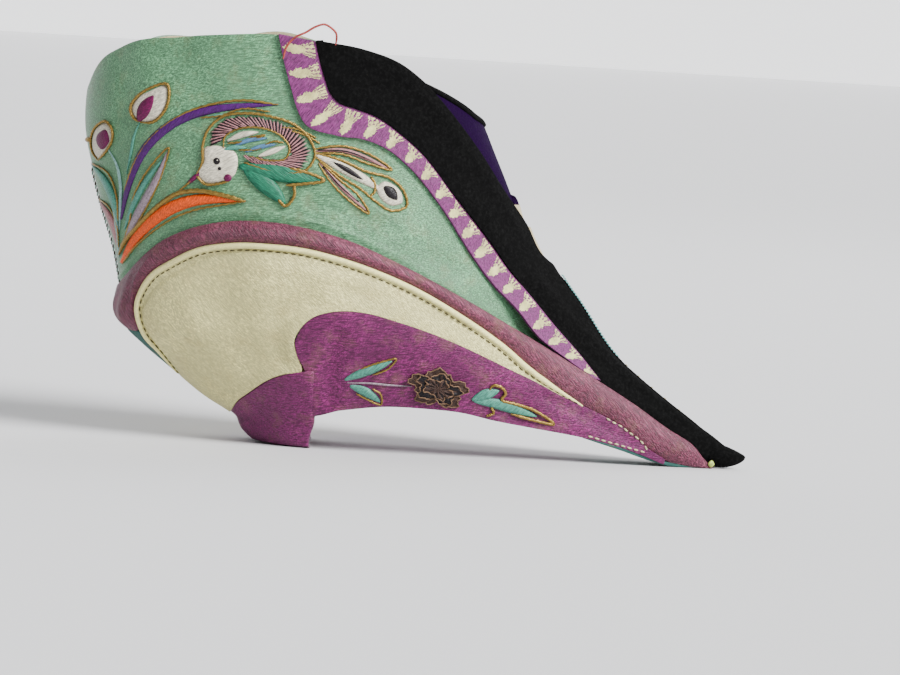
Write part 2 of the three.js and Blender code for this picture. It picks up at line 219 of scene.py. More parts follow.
# Closed shapes filled with floss
HEARTS = [
    ("white", (0.094, 0.768), (0.082, 0.776), (0.077, 0.797), (0.084, 0.823), (0.098, 0.842),
     (0.126, 0.856), (0.128, 0.827), (0.122, 0.795), (0.108, 0.772)),
    ("white", (0.029, 0.670), (0.020, 0.687), (0.018, 0.711), (0.025, 0.746), (0.038, 0.758),
     (0.046, 0.745), (0.048, 0.720), (0.042, 0.698)),
    ("white", (0.177, 0.652), (0.186, 0.684), (0.186, 0.715), (0.210, 0.723), (0.233, 0.707),
     (0.236, 0.683), (0.231, 0.654), (0.213, 0.638), (0.191, 0.634)),
    ("white", (0.437, 0.646), (0.446, 0.662), (0.462, 0.655), (0.474, 0.634), (0.475, 0.614),
     (0.460, 0.606), (0.443, 0.622)),
]
# Dots: finish, radius in millimetres, place
DOTS = [
    ("black", 0.85, (0.206, 0.687)), ("white", 0.35, (0.207, 0.689)), ("black", 0.45, (0.211, 0.670)),
    ("red", 0.85, (0.223, 0.649)), ("gold", 0.60, (0.012, 0.714)),
]
# Couched gold thread: radius in millimetres, then the line
GOLD_LINES = [
    (0.62, (0.067, 0.440), (0.076, 0.475), (0.092, 0.510), (0.109, 0.544), (0.126, 0.573), (0.151, 0.603),
     (0.177, 0.613), (0.214, 0.608), (0.250, 0.596)),
    (0.28, (0.072, 0.417), (0.092, 0.465), (0.117, 0.506), (0.146, 0.542), (0.178, 0.567),
     (0.215, 0.583), (0.250, 0.596)),
    (0.32, (0.072, 0.600), (0.086, 0.670), (0.103, 0.720), (0.131, 0.768), (0.163, 0.802), (0.200, 0.824),
     (0.237, 0.835), (0.289, 0.830)),
    (0.38, (0.095, 0.766), (0.082, 0.774), (0.075, 0.797), (0.083, 0.825), (0.098, 0.845), (0.128, 0.860),
     (0.131, 0.827), (0.124, 0.793), (0.108, 0.768), (0.095, 0.766)),
    (0.34, (0.029, 0.666), (0.019, 0.687), (0.016, 0.711), (0.024, 0.748), (0.038, 0.762),
     (0.048, 0.747), (0.050, 0.720), (0.043, 0.694), (0.029, 0.666)),
    (0.26, (0.070, 0.457), (0.082, 0.526), (0.086, 0.582), (0.103, 0.646), (0.135, 0.710), (0.127, 0.647),
     (0.109, 0.572), (0.089, 0.508), (0.070, 0.457)),
    (0.26, (0.064, 0.524), (0.060, 0.586), (0.044, 0.640), (0.017, 0.657)),
    (0.24, (0.066, 0.457), (0.061, 0.518), (0.047, 0.558), (0.028, 0.571)),
    (0.36, (0.177, 0.650), (0.185, 0.684), (0.184, 0.717), (0.190, 0.758), (0.208, 0.791), (0.245, 0.805),
     (0.282, 0.800), (0.315, 0.784), (0.338, 0.750), (0.346, 0.718), (0.334, 0.679), (0.306, 0.670),
     (0.276, 0.675), (0.245, 0.688)),
    (0.32, (0.177, 0.650), (0.190, 0.631), (0.213, 0.635), (0.228, 0.645)),
    (0.26, (0.181, 0.653), (0.162, 0.623), (0.148, 0.600), (0.134, 0.575)),
    (0.26, (0.214, 0.719), (0.215, 0.745), (0.230, 0.764), (0.257, 0.773), (0.280, 0.768), (0.299, 0.752),
     (0.309, 0.728), (0.305, 0.706), (0.282, 0.696), (0.252, 0.704)),
    (0.24, (0.219, 0.731), (0.245, 0.738), (0.272, 0.756), (0.250, 0.748)),
    (0.24, (0.236, 0.717), (0.262, 0.721), (0.288, 0.743), (0.300, 0.740)),
    (0.40, (0.309, 0.682), (0.332, 0.675), (0.361, 0.657), (0.332, 0.646), (0.307, 0.640)),
    (0.40, (0.318, 0.643), (0.320, 0.618), (0.307, 0.591), (0.297, 0.606)),
    (0.30, (0.344, 0.731), (0.385, 0.741), (0.427, 0.723), (0.457, 0.691), (0.420, 0.704), (0.386, 0.721),
     (0.347, 0.721)),
    (0.34, (0.345, 0.721), (0.383, 0.708), (0.421, 0.684), (0.459, 0.668), (0.478, 0.637), (0.482, 0.608),
     (0.461, 0.594), (0.438, 0.613), (0.414, 0.642), (0.383, 0.670), (0.347, 0.712)),
    (0.34, (0.428, 0.672), (0.434, 0.655), (0.434, 0.636), (0.428, 0.625)),
    (0.30, (0.351, 0.705), (0.383, 0.661), (0.411, 0.627), (0.428, 0.585), (0.397, 0.615), (0.372, 0.652),
     (0.351, 0.697)),
    (0.24, (0.294, 0.777), (0.317, 0.775), (0.346, 0.757)),
    (0.24, (0.310, 0.770), (0.330, 0.762), (0.352, 0.744)),
    (0.24, (0.178, 0.787), (0.208, 0.796), (0.237, 0.815), (0.278, 0.812)),
]
BODY_OUTER = [
    (0.193, 0.722), (0.197, 0.762), (0.214, 0.787), (0.245, 0.798), (0.279, 0.793), (0.309, 0.777),
    (0.331, 0.748), (0.339, 0.717), (0.329, 0.686), (0.305, 0.676), (0.279, 0.680), (0.256, 0.689),
    (0.238, 0.700),
]
BODY_INNER = [
    (0.213, 0.719), (0.215, 0.745), (0.230, 0.764), (0.257, 0.773), (0.280, 0.768), (0.299, 0.752),
    (0.309, 0.728), (0.308, 0.708), (0.297, 0.700), (0.282, 0.698), (0.267, 0.700), (0.252, 0.704),
    (0.240, 0.708),
]
# Embroidery on the arch cover
ARCH_PETALS = [
    ("leaf", 2.0, (0.408, 0.184), (0.433, 0.204), (0.459, 0.224), (0.474, 0.237)),
    ("leaf", 2.0, (0.416, 0.170), (0.435, 0.160), (0.448, 0.149), (0.461, 0.134)),
    ("lilac", 0.45, (0.412, 0.177), (0.443, 0.179), (0.473, 0.177), (0.505, 0.177)),
    ("leaf", 2.3, (0.594, 0.149), (0.611, 0.162), (0.632, 0.174)),
    ("leaf", 2.3, (0.597, 0.147), (0.630, 0.142), (0.659, 0.130), (0.690, 0.114)),
]
ARCH_GOLD_LINES = [
    (0.26, (0.430, 0.213), (0.456, 0.232), (0.480, 0.242), (0.471, 0.220), (0.448, 0.200)),
    (0.26, (0.426, 0.152), (0.441, 0.140), (0.463, 0.129), (0.461, 0.154), (0.449, 0.166)),
    (0.42, (0.618, 0.172), (0.621, 0.184), (0.636, 0.181), (0.642, 0.167), (0.637, 0.155), (0.658, 0.143),
     (0.683, 0.131), (0.716, 0.097), (0.681, 0.107), (0.652, 0.119)),
    (0.36, (0.623, 0.133), (0.627, 0.120), (0.617, 0.111)),
]
ARCH_STITCHES = [
    [(0.792, 0.115), (0.803, 0.105), (0.816, 0.095), (0.828, 0.082), (0.838, 0.072), (0.847, 0.061),
     (0.854, 0.050), (0.859, 0.037)],
    [(0.767, 0.071), (0.792, 0.060), (0.818, 0.050), (0.839, 0.042), (0.856, 0.036)],
]
# The cloth flower on the arch: its middle, half its length and half its height
FLOWER_AT = (0.543, 0.176)
FLOWER_LONG = 5.6 * MM
FLOWER_HIGH = 3.6 * MM
RED_THREAD = [
    (0.292, 0.940), (0.296, 0.968), (0.309, 0.994), (0.322, 1.005), (0.337, 1.021), (0.349, 1.027),
    (0.358, 1.020), (0.366, 1.007), (0.367, 0.995), (0.366, 0.980),
]

SIDES = (("right", -1), ("left", 1))


# Shape of the last


def smooth(x, knots, values):
    """A smooth curve through a table's rows."""
    knots = np.asarray(knots, float)
    values = np.asarray(values, float)
    slopes = np.gradient(values, knots)
    i = np.clip(np.searchsorted(knots, x, side="right") - 1, 0, len(knots) - 2)
    step = knots[i + 1] - knots[i]
    t = np.clip((x - knots[i]) / step, 0, 1)
    start = (1 + 2 * t) * (1 - t) ** 2 * values[i] + t * (1 - t) ** 2 * step * slopes[i]
    end = t * t * (3 - 2 * t) * values[i + 1] + t * t * (t - 1) * step * slopes[i + 1]
    return start + end


def measures(level):
    return [smooth(level, SECTIONS[:, 0], SECTIONS[:, column]) for column in range(1, 6)]


def on_last(turn, level):
    """Points on the last: turn is 0 at the front ridge and pi at the back, positive to the left."""
    turn, level = np.broadcast_arrays(np.asarray(turn, float), np.asarray(level, float))
    back, widest, front, half, roundness = measures(level)
    run = np.cos(turn)
    ahead = run > 0
    blend = POINTED_POWER + (ROUND_POWER - POINTED_POWER) * roundness
    power = np.where(ahead, blend, ROUND_POWER)
    root = np.where(ahead, 1 + roundness, ROUND_POWER)
    x = widest + run * np.where(ahead, front - widest, widest - back)
    y = half * np.maximum(1 - np.abs(run) ** power, 0) ** (1 / root) * np.sign(np.sin(turn))
    return np.stack([x * LENGTH - SHIFT, y * WIDTH / 2, level * HEIGHT], -1)


def outward(turn, level):
    """Directions square to the last."""
    turn_step = 0.03
    level_step = 0.01
    along = on_last(turn + turn_step, level) - on_last(turn - turn_step, level)
    up = on_last(turn, level + level_step) - on_last(turn, level - level_step)
    normal = np.cross(along, up)
    return normal / np.maximum(np.linalg.norm(normal, axis=-1, keepdims=True), 1e-12)


def lifted(turn, level, lift):
    """Points at a height over the last's surface, in metres."""
    lift = np.asarray(lift, float)
    return on_last(turn, level) + outward(turn, level) * np.expand_dims(lift, -1)


def turn_at(along, up):
    """The turn of a point that is given on the side view."""
    back, widest, front, _, _ = measures(up)
    span = np.where(along > widest, front - widest, widest - back)
    return np.arccos(np.clip((along - widest) / span, -1, 1))


def laid(rows, count=160, extra=()):
    """A line on the side view as even steps of (turn, level); extra rows are given as turn and level."""
    along, up = np.array(rows, float).T
    run = np.concatenate([[0], np.cumsum(np.hypot(np.diff(along) * LENGTH, np.diff(up) * HEIGHT))])
    fine = np.linspace(0, run[-1], 4 * count)
    turn = turn_at(smooth(fine, run, along), smooth(fine, run, up))
    level = smooth(fine, run, up)
    for row in extra:
        turn = np.append(turn, np.linspace(turn[-1], row[0], 40)[1:])
        level = np.append(level, np.linspace(level[-1], row[1], 40)[1:])
    return even(turn, level, count)


def lengths_along(points):
    """The length of a line of points up to each of them."""
    return np.concatenate([[0], np.cumsum(np.linalg.norm(np.diff(points, axis=0), axis=1))])


def read_at(spots, run, rows):
    """Reads a table of points or directions at some lengths along it."""
    return np.stack([np.interp(spots, run, rows[:, k]) for k in range(3)], -1)


def unit(vectors):
    return vectors / np.linalg.norm(vectors, axis=1, keepdims=True)


def even(turn, level, count):
    """Resamples a line on the last by its true length."""
    run = lengths_along(on_last(turn, level))
    steps = np.linspace(0, run[-1], count)
    return np.interp(steps, run, turn), np.interp(steps, run, level)


def relief(turn, level, folds):
    """Height of the listed folds over the last, in metres."""
    points = on_last(turn, level)
    along = points[..., 0] + SHIFT
    up = points[..., 2]
    height = np.zeros(along.shape)
    for width, depth, *line in folds:
        near = np.full(along.shape, 1.0)
        for start, end in zip(line[:-1], line[1:]):
            a = np.array(start) * (LENGTH, HEIGHT)
            step = np.array(end) * (LENGTH, HEIGHT) - a
            share = ((along - a[0]) * step[0] + (up - a[1]) * step[1]) / (step @ step)
            share = np.clip(share, 0, 1)
            near = np.minimum(near, np.hypot(along - a[0] - share * step[0], up - a[1] - share * step[1]))
        height += depth * MM * np.exp(-(near / (width * MM)) ** 2)
    return height


def rounded_loop(points, passes):
    """Softens the corners of rings of points; the ring runs along the first axis."""
    for _ in range(passes):
        points = (np.roll(points, 1, 0) + 2 * points + np.roll(points, -1, 0)) / 4
    return points


def between(first, second):
    """A cloth between two laid lines: u runs along them and v across."""
    steps = np.linspace(0, 1, len(first[0]))

    def at(u, v):
        a = [np.interp(u, steps, values) for values in first]
        b = [np.interp(u, steps, values) for values in second]
        return a[0] + (b[0] - a[0]) * v, a[1] + (b[1] - a[1]) * v

    return at


# Modelling


def clear_selection():
    if bpy.context.mode != "OBJECT":
        bpy.ops.object.mode_set(mode="OBJECT")
    bpy.ops.object.select_all(action="DESELECT")


def select(*pieces):
    clear_selection()
    for piece in pieces:
        piece.select_set(True)
    bpy.context.view_layer.objects.active = pieces[0]


def apply(piece, kind, **settings):
    """Adds a modifier and applies it."""
    select(piece)
    modifier = piece.modifiers.new(kind.title(), kind)
    for name, value in settings.items():
        setattr(modifier, name, value)
    bpy.ops.object.modifier_apply(modifier=modifier.name)


def linked(name, data):
    """A new object in the scene, from a curve, a lamp or a camera."""
    piece = bpy.data.objects.new(name, data)
    bpy.context.scene.collection.objects.link(piece)
    return piece


def place(piece, points):
    piece.data.vertices.foreach_set("co", np.asarray(points, np.float32).ravel())
    piece.data.update()


def corners(piece):
    points = np.zeros(len(piece.data.vertices) * 3, np.float32)
    piece.data.vertices.foreach_get("co", points)
    return points.reshape(-1, 3).astype(float)


def keep_above_floor(piece):
    """Lifts any corner that a sheet's thickness has pushed through the floor."""
    points = corners(piece)
    points[:, 2] = np.maximum(points[:, 2], 0)
    place(piece, points)


def face_rows(piece, what):
    """The faces' normals or centres, as "normal" or "center" asks."""
    rows = np.zeros(len(piece.data.polygons) * 3)
    piece.data.polygons.foreach_get(what, rows)
    return rows.reshape(-1, 3)


def face_outwards(piece):
    """Turns an open sheet so that its faces look away from the middle of the foot."""
    centres = face_rows(piece, "center")
    middle = np.stack([np.clip(centres[:, 0], -0.03, 0.04), centres[:, 1] * 0,
                       np.full(len(centres), 0.030)], -1)
    if ((centres - middle) * face_rows(piece, "normal")).sum() < 0:
        select(piece)
        bpy.ops.object.mode_set(mode="EDIT")
        bpy.ops.mesh.select_all(action="SELECT")
        bpy.ops.mesh.flip_normals()
        bpy.ops.object.mode_set(mode="OBJECT")


def sheet_of(name, shape, rows, cols, thickness, edge=0.25 * MM, weld=False):
    """A sheet laid by shape(u, v), given its thickness inwards and a soft edge."""
    clear_selection()
    bpy.ops.mesh.primitive_grid_add(x_subdivisions=rows, y_subdivisions=cols, size=1, calc_uvs=True)
    piece = bpy.context.object
    piece.name = name
    flat = corners(piece) + 0.5
    place(piece, shape(np.clip(flat[:, 0], 0, 1), np.clip(flat[:, 1], 0, 1)))
    if weld:
        select(piece)
        bpy.ops.object.mode_set(mode="EDIT")
        bpy.ops.mesh.select_all(action="SELECT")
        bpy.ops.mesh.remove_doubles(threshold=0.02 * MM)
        bpy.ops.object.mode_set(mode="OBJECT")
    face_outwards(piece)
    apply(piece, "SOLIDIFY", thickness=thickness, offset=-1, use_even_offset=False)
    if edge:
        apply(piece, "BEVEL", width=edge, segments=2, limit_method="ANGLE",
              angle_limit=math.radians(55), use_clamp_overlap=True)
    select(piece)
    bpy.ops.object.shade_smooth()
    return piece


def tube(name, points, radius, taper=0.35, sides=6):
    """A round cord along points, closed at both ends."""
    clear_selection()
    curve = bpy.data.curves.new(name, "CURVE")
    curve.dimensions = "3D"
    spline = curve.splines.new("POLY")
    spline.points.add(len(points) - 1)
    spline.points.foreach_set("co", np.c_[points, np.ones(len(points))].ravel())
    size = np.ones(len(points))
    reach = max(len(points) // 12, 1)
    size[:reach] = np.linspace(taper, 1, reach)
    size[-reach:] = np.linspace(1, taper, reach)
    spline.points.foreach_set("radius", size)
    curve.bevel_depth = radius
    curve.bevel_resolution = max(sides // 2 - 1, 1)
    curve.use_fill_caps = True
    select(linked(name, curve))
    bpy.ops.object.convert(target="MESH")
    piece = bpy.context.object
    bpy.ops.object.shade_smooth()
    return piece


def stitches(name, centres, directions, size, thickness):
    """One mesh of many short stitches: a stretched low ball at each centre."""
    clear_selection()
    bpy.ops.mesh.primitive_uv_sphere_add(segments=6, ring_count=4, radius=0.5)
    piece = bpy.context.object
    piece.name = name
    ball = corners(piece)
    faces = [tuple(face.vertices) for face in piece.data.polygons]
    directions = unit(directions)
    helper = np.where(np.abs(directions[:, 2:3]) < 0.9, [[0, 0, 1.0]], [[1.0, 0, 0]])
    across = unit(np.cross(directions, helper))
    up = np.cross(directions, across)
    size = np.broadcast_to(size, len(centres))
    verts = (centres[:, None] + ball[None, :, 2:3] * directions[:, None] * size[:, None, None]
             + ball[None, :, 0:1] * across[:, None] * thickness
             + ball[None, :, 1:2] * up[:, None] * thickness)
    count = len(ball)
    all_faces = [tuple(v + k * count for v in face) for k in range(len(centres)) for face in faces]
    mesh = bpy.data.meshes.new(name)
    mesh.from_pydata(verts.reshape(-1, 3).tolist(), [], all_faces)
    piece.data = mesh
    select(piece)
    bpy.ops.object.shade_smooth()
    return piece


def joined(name, pieces):
    """Joins pieces of one finish into one mesh."""
    select(*pieces)
    if len(pieces) > 1:
        bpy.ops.object.join()
    piece = bpy.context.object
    piece.name = name
    return piece


def finished(piece, material, nodes=()):
    """Gives a piece its finish and its body, and hides the solids that it stands for."""
    piece.data.materials.clear()
    piece.data.materials.append(material)
    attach(piece, "root")
    if nodes:
        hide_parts(*nodes)
    return piece


# Finishes


def new_material(name, colour, roughness, sheen=0.3, specular=0.35):
    material = bpy.data.materials.new(name)
    material.use_nodes = True
    material.diffuse_color = colour
    nodes = material.node_tree.nodes
    shader = nodes["Principled BSDF"]
    shader.inputs["Base Color"].default_value = colour
    shader.inputs["Roughness"].default_value = roughness
    shader.inputs["Sheen Weight"].default_value = sheen * 0.3
    shader.inputs["Sheen Roughness"].default_value = 0.4
    shader.inputs["Specular IOR Level"].default_value = specular
    return material, nodes, material.node_tree.links, shader


def mixed_colour(nodes, links, factor, low, high):
    mix = nodes.new("ShaderNodeMix")
    mix.data_type = "RGBA"
    links.new(factor, mix.inputs["Factor"])
    for slot, value in ((6, low), (7, high)):
        if isinstance(value, bpy.types.NodeSocket):
            links.new(value, mix.inputs[slot])
        else:
            mix.inputs[slot].default_value = value
    return mix.outputs[2]


def noise_of(nodes, links, vector, scale, detail=3.0, rough=0.55):
    noise = nodes.new("ShaderNodeTexNoise")
    noise.inputs["Scale"].default_value = scale
    noise.inputs["Detail"].default_value = detail
    noise.inputs["Roughness"].default_value = rough
    links.new(vector, noise.inputs["Vector"])
    return noise.outputs["Fac"]


def bumped(nodes, links, shader, heights):
    """Chains bumps: each row is a height socket, a strength and a depth in metres."""
    previous = None
    for height, strength, distance in heights:
        bump = nodes.new("ShaderNodeBump")
        bump.inputs["Strength"].default_value = strength
        bump.inputs["Distance"].default_value = distance
        links.new(height, bump.inputs["Height"])
        if previous:
            links.new(previous, bump.inputs["Normal"])
        previous = bump.outputs["Normal"]
    links.new(previous, shader.inputs["Normal"])


def shade_of(colour, factor):
    return tuple(channel * factor for channel in colour[:3]) + (1,)


def grain_of(nodes, links, vector, turn, long, wide):
    """Short floats of a satin or twill: flecks drawn out one way."""
    mapping = nodes.new("ShaderNodeMapping")
    mapping.inputs["Rotation"].default_value = (0, turn, 0)
    links.new(vector, mapping.inputs["Vector"])
    stretch = nodes.new("ShaderNodeMapping")
    stretch.inputs["Scale"].default_value = (1 / long, 1 / wide, 1 / wide)
    links.new(mapping.outputs["Vector"], stretch.inputs["Vector"])
    return noise_of(nodes, links, stretch.outputs["Vector"], 1, 2, 0.6)


def spread(nodes, links, value, low, high):
    """Stretches a socket's values from low..high to 0..1."""
    ramp = nodes.new("ShaderNodeMapRange")
    ramp.inputs["From Min"].default_value = low
    ramp.inputs["From Max"].default_value = high
    links.new(value, ramp.inputs["Value"])
    return ramp.outputs["Result"]


def cloth(name, colour, roughness=0.5, sheen=0.3, turn=0.0, long=2.2, wide=0.28, depth=0.05,
          contrast=0.3, specular=0.35, stain=(0.30, 0.20, 0.08, 1), soiled=0.25):
    """Silk, satin or cotton: floats one way, a finer twill across, worn and soiled patches."""
    material, nodes, links, shader = new_material(name, colour, roughness, sheen, specular)
    place_in = nodes.new("ShaderNodeTexCoord").outputs["Object"]
    patches = spread(nodes, links, noise_of(nodes, links, place_in, 90, 4), 0.35, 0.68)
    spots = spread(nodes, links, noise_of(nodes, links, place_in, 230, 5, 0.65), 0.52, 0.80)
    grain = spread(
        nodes, links, grain_of(nodes, links, place_in, turn, long * MM, wide * MM), 0.38, 0.60)
    twill = spread(
        nodes, links, grain_of(nodes, links, place_in, turn + 0.8, 0.9 * MM, 0.2 * MM), 0.36, 0.64)
    dimples = noise_of(nodes, links, place_in, 420, 3)
    base = mixed_colour(nodes, links, patches, shade_of(colour, 1 - contrast * 0.25),
                        shade_of(colour, 1 + contrast * 0.55))
    floats = mixed_colour(nodes, links, grain, shade_of(colour, 1 - contrast), base)
    fine = mixed_colour(nodes, links, twill, shade_of(colour, 1 - contrast * 0.8), floats)
    fine.node.inputs["Factor"].default_value = 0.5
    soil = nodes.new("ShaderNodeMath")
    soil.operation = "MULTIPLY"
    soil.inputs[1].default_value = soiled
    links.new(spots, soil.inputs[0])
    links.new(mixed_colour(nodes, links, soil.outputs[0], fine, stain), shader.inputs["Base Color"])
    bumped(nodes, links, shader, [(patches, 0.35, 0.5 * MM), (dimples, 0.25, 0.2 * MM),
                                  (twill, 0.35, depth * 0.7 * MM), (grain, 0.7, depth * MM)])
    return material


def felt_finish(name, colour):
    """Matt fulled felt with loose fibres."""
    material, nodes, links, shader = new_material(name, colour, 1.0, 0.02, 0.06)
    place_in = nodes.new("ShaderNodeTexCoord").outputs["Object"]
    nap = noise_of(nodes, links, place_in, 1400, 4, 0.7)
    lumps = noise_of(nodes, links, place_in, 260, 3)
    dust = noise_of(nodes, links, place_in, 3200, 1)
    tone = mixed_colour(nodes, links, lumps, shade_of(colour, 0.3), shade_of(colour, 3.0))
    fibres = mixed_colour(nodes, links, spread(nodes, links, nap, 0.45, 0.75), tone, shade_of(colour, 8.0))
    links.new(mixed_colour(nodes, links, dust, fibres, shade_of(colour, 1.4)),
              shader.inputs["Base Color"])
    bumped(nodes, links, shader, [(lumps, 0.5, 0.25 * MM), (nap, 0.8, 0.2 * MM)])
    return material


def ribbon_finish(name, repeats, violet, cream):
    """Woven ribbon: cream leaves across a violet ground, with a ribbed weave."""
    material, nodes, links, shader = new_material(name, violet, 0.55, 0.3)
    uv = nodes.new("ShaderNodeTexCoord").outputs["UV"]
    split = nodes.new("ShaderNodeSeparateXYZ")
    links.new(uv, split.inputs["Vector"])

    def maths(operation, first, second=None, third=None):
        node = nodes.new("ShaderNodeMath")
        node.operation = operation
        for i, value in enumerate((first, second, third)):
            if isinstance(value, bpy.types.NodeSocket):
                links.new(value, node.inputs[i])
            elif value is not None:
                node.inputs[i].default_value = value
        return node.outputs[0]

    place_in = nodes.new("ShaderNodeTexCoord").outputs["Object"]
    frayed = noise_of(nodes, links, place_in, 2100, 3)
    along = maths("MULTIPLY", split.outputs["X"], repeats)
    ragged = maths("MULTIPLY_ADD", frayed, 0.30, along)
    across = maths("MULTIPLY_ADD", frayed, 0.10, maths("SUBTRACT", split.outputs["Y"], 0.05))
    cell = maths("SUBTRACT", maths("FRACT", ragged), 0.65)
    # A leaf has its point at the quarter's edge and breaks into fingers at the felt's edge
    away = maths("ABSOLUTE", maths("MULTIPLY_ADD", across, 2.9, -1.12))
    belly = maths("SUBTRACT", 1, maths("POWER", away, 2.0))
    inside_leaf = maths("SUBTRACT", maths("MULTIPLY", belly, 0.19), maths("ABSOLUTE", cell))
    leaf = maths("GREATER_THAN", inside_leaf, 0.0)
    fan = maths("SUBTRACT", across, 0.45)
    reach = maths("MULTIPLY", maths("GREATER_THAN", fan, 0), maths("LESS_THAN", across, 0.93))
    spokes = maths("DIVIDE", cell, maths("MULTIPLY_ADD", maths("ABSOLUTE", fan), 0.75, 0.14))
    inside = maths("LESS_THAN", maths("ABSOLUTE", spokes), 0.85)
    teeth = maths("GREATER_THAN", maths("COSINE", maths("MULTIPLY", spokes, 15.0)), -0.35)
    fingers = maths("MULTIPLY", maths("MULTIPLY", reach, inside), teeth)
    pale = maths("MAXIMUM", leaf, fingers)
    ribs = spread(nodes, links, grain_of(nodes, links, place_in, 0.9, 1.6 * MM, 0.25 * MM), 0.3, 0.7)
    wear = spread(nodes, links, noise_of(nodes, links, place_in, 500, 4), 0.3, 0.7)
    ground = mixed_colour(nodes, links, ribs, shade_of(violet, 0.45), shade_of(violet, 1.35))
    motif = mixed_colour(nodes, links, wear, shade_of(cream, 0.40), shade_of(cream, 0.85))
    links.new(mixed_colour(nodes, links, pale, ground, motif), shader.inputs["Base Color"])
    bumped(nodes, links, shader, [(pale, 0.6, 0.15 * MM), (ribs, 0.9, 0.12 * MM)])
    return material


def thread_finish(name, colour, roughness=0.35, turn=0.6, metal=0.0):
    """Floss or gold thread, laid in one direction."""
    material, nodes, links, shader = new_material(name, colour, roughness, 0.1, 0.28)
    shader.inputs["Metallic"].default_value = metal
    place_in = nodes.new("ShaderNodeTexCoord").outputs["Object"]
    strands = spread(nodes, links, grain_of(nodes, links, place_in, turn, 1.8 * MM, 0.22 * MM), 0.3, 0.7)
    links.new(mixed_colour(nodes, links, strands, shade_of(colour, 0.45), shade_of(colour, 1.25)),
              shader.inputs["Base Color"])
    bumped(nodes, links, shader, [(strands, 0.8, 0.08 * MM)])
    return material


def make_finishes(sizes, colours):
    ribbon_length = lengths_along(on_last(*laid(RIBBON_BACK)))[-1]
    return {
        "mint": cloth("mint_satin", colours.mint, 0.40, 0.30, 0.12, 1.3, 0.22, 0.08, 0.74, 0.45),
        "lining": cloth("cotton_lining", colours.ivory, 0.9, 0.1, 0.0, 0.8, 0.4, 0.06),
        "felt": felt_finish("black_felt", colours.felt),
        "ribbon": ribbon_finish("woven_ribbon", round(ribbon_length / sizes.motif_spacing),
                                colours.violet, colours.cream),
        "mauve": cloth("mauve_silk", colours.mauve, 0.46, 0.2, -0.85, 3.2, 0.24, 0.14, 0.85, 0.3),
        "cream": cloth("cream_satin", colours.cream, 0.42, 0.3, -0.75, 1.2, 0.22, 0.09, 0.55, 0.5,
                       (0.36, 0.24, 0.08, 1), 0.35),
        "piping": cloth("cream_piping", shade_of(colours.cream, 1.05), 0.55, 0.3, 0.5, 1.2, 0.3,
                        0.06, 0.25),
        "magenta": cloth("magenta_satin", colours.magenta, 0.48, 0.2, 0.10, 1.5, 0.24, 0.10, 0.80, 0.3),
        "teal": cloth("teal_cloth", colours.teal, 0.8, 0.2, 0.2, 1.0, 0.3, 0.06),
        "purple": cloth("purple_silk", colours.purple, 0.75, 0.0, 1.0, 2.0, 0.3, 0.04, 0.4, 0.03,
                        soiled=0.0),
        "ivory": cloth("ivory_cloth", colours.ivory, 0.9, 0.1, 0.1, 0.8, 0.4, 0.08),
        "wood": cloth("carved_wood", (0.35, 0.2, 0.09, 1), 0.7, 0.0, 0.1, 8.0, 0.8, 0.05, 0.4),
        # Dark thread of the piping's running stitches; the back seam also uses it as painted shade in its
        # gaps.
        "dark": thread_finish("dark_thread_and_gap_shade", (0.050, 0.036, 0.012, 1), 0.6),
        "cream_thread": thread_finish("cream_thread", (0.6, 0.52, 0.3, 1), 0.5),
        "teal_thread": thread_finish("teal_thread", (0.10, 0.36, 0.33, 1), 0.45),
        "mint_thread": thread_finish("mint_thread", (0.30, 0.52, 0.40, 1), 0.45),
        "red_thread": thread_finish("red_thread", (0.36, 0.055, 0.045, 1), 0.6),
        "gold": thread_finish("gold_thread", colours.gold, 0.35, 0.4, 0.75),
        "orange": thread_finish("orange_floss", (0.80, 0.085, 0.001, 1), 0.5, 1.1),
        "stalk": thread_finish("purple_floss", (0.062, 0.003, 0.110, 1), 0.5, 1.1),
        "pink": thread_finish("pink_floss", (0.38, 0.17, 0.18, 1), 0.45, 0.5),
        "white": thread_finish("white_floss", (0.66, 0.61, 0.48, 1), 0.45, 0.5),
        "black": thread_finish("black_floss", (0.006, 0.003, 0.005, 1), 0.4, 0.5),
        "green": thread_finish("green_floss", (0.008, 0.14, 0.075, 1), 0.42, -0.5),
        "blue": thread_finish("blue_floss", (0.07, 0.17, 0.30, 1), 0.4, 0.5),
        "leaf": thread_finish("leaf_floss", (0.07, 0.27, 0.20, 1), 0.4, 0.8),
        "pale": thread_finish("pale_floss", (0.22, 0.42, 0.38, 1), 0.4, 1.2),
        "lilac": thread_finish("lilac_floss", (0.30, 0.23, 0.27, 1), 0.4, 1.0),
        "brown": thread_finish("brown_floss", (0.05, 0.025, 0.018, 1), 0.6, 0.5),
        "frayed": thread_finish("frayed_floss", (0.16, 0.09, 0.05, 1), 0.7, 0.5),
        "yellow": thread_finish("yellow_floss", (0.45, 0.55, 0.12, 1), 0.5, 0.5),
        "red": thread_finish("red_floss", (0.12, 0.002, 0.055, 1), 0.5, 0.5),
    }


FINISHES = {}


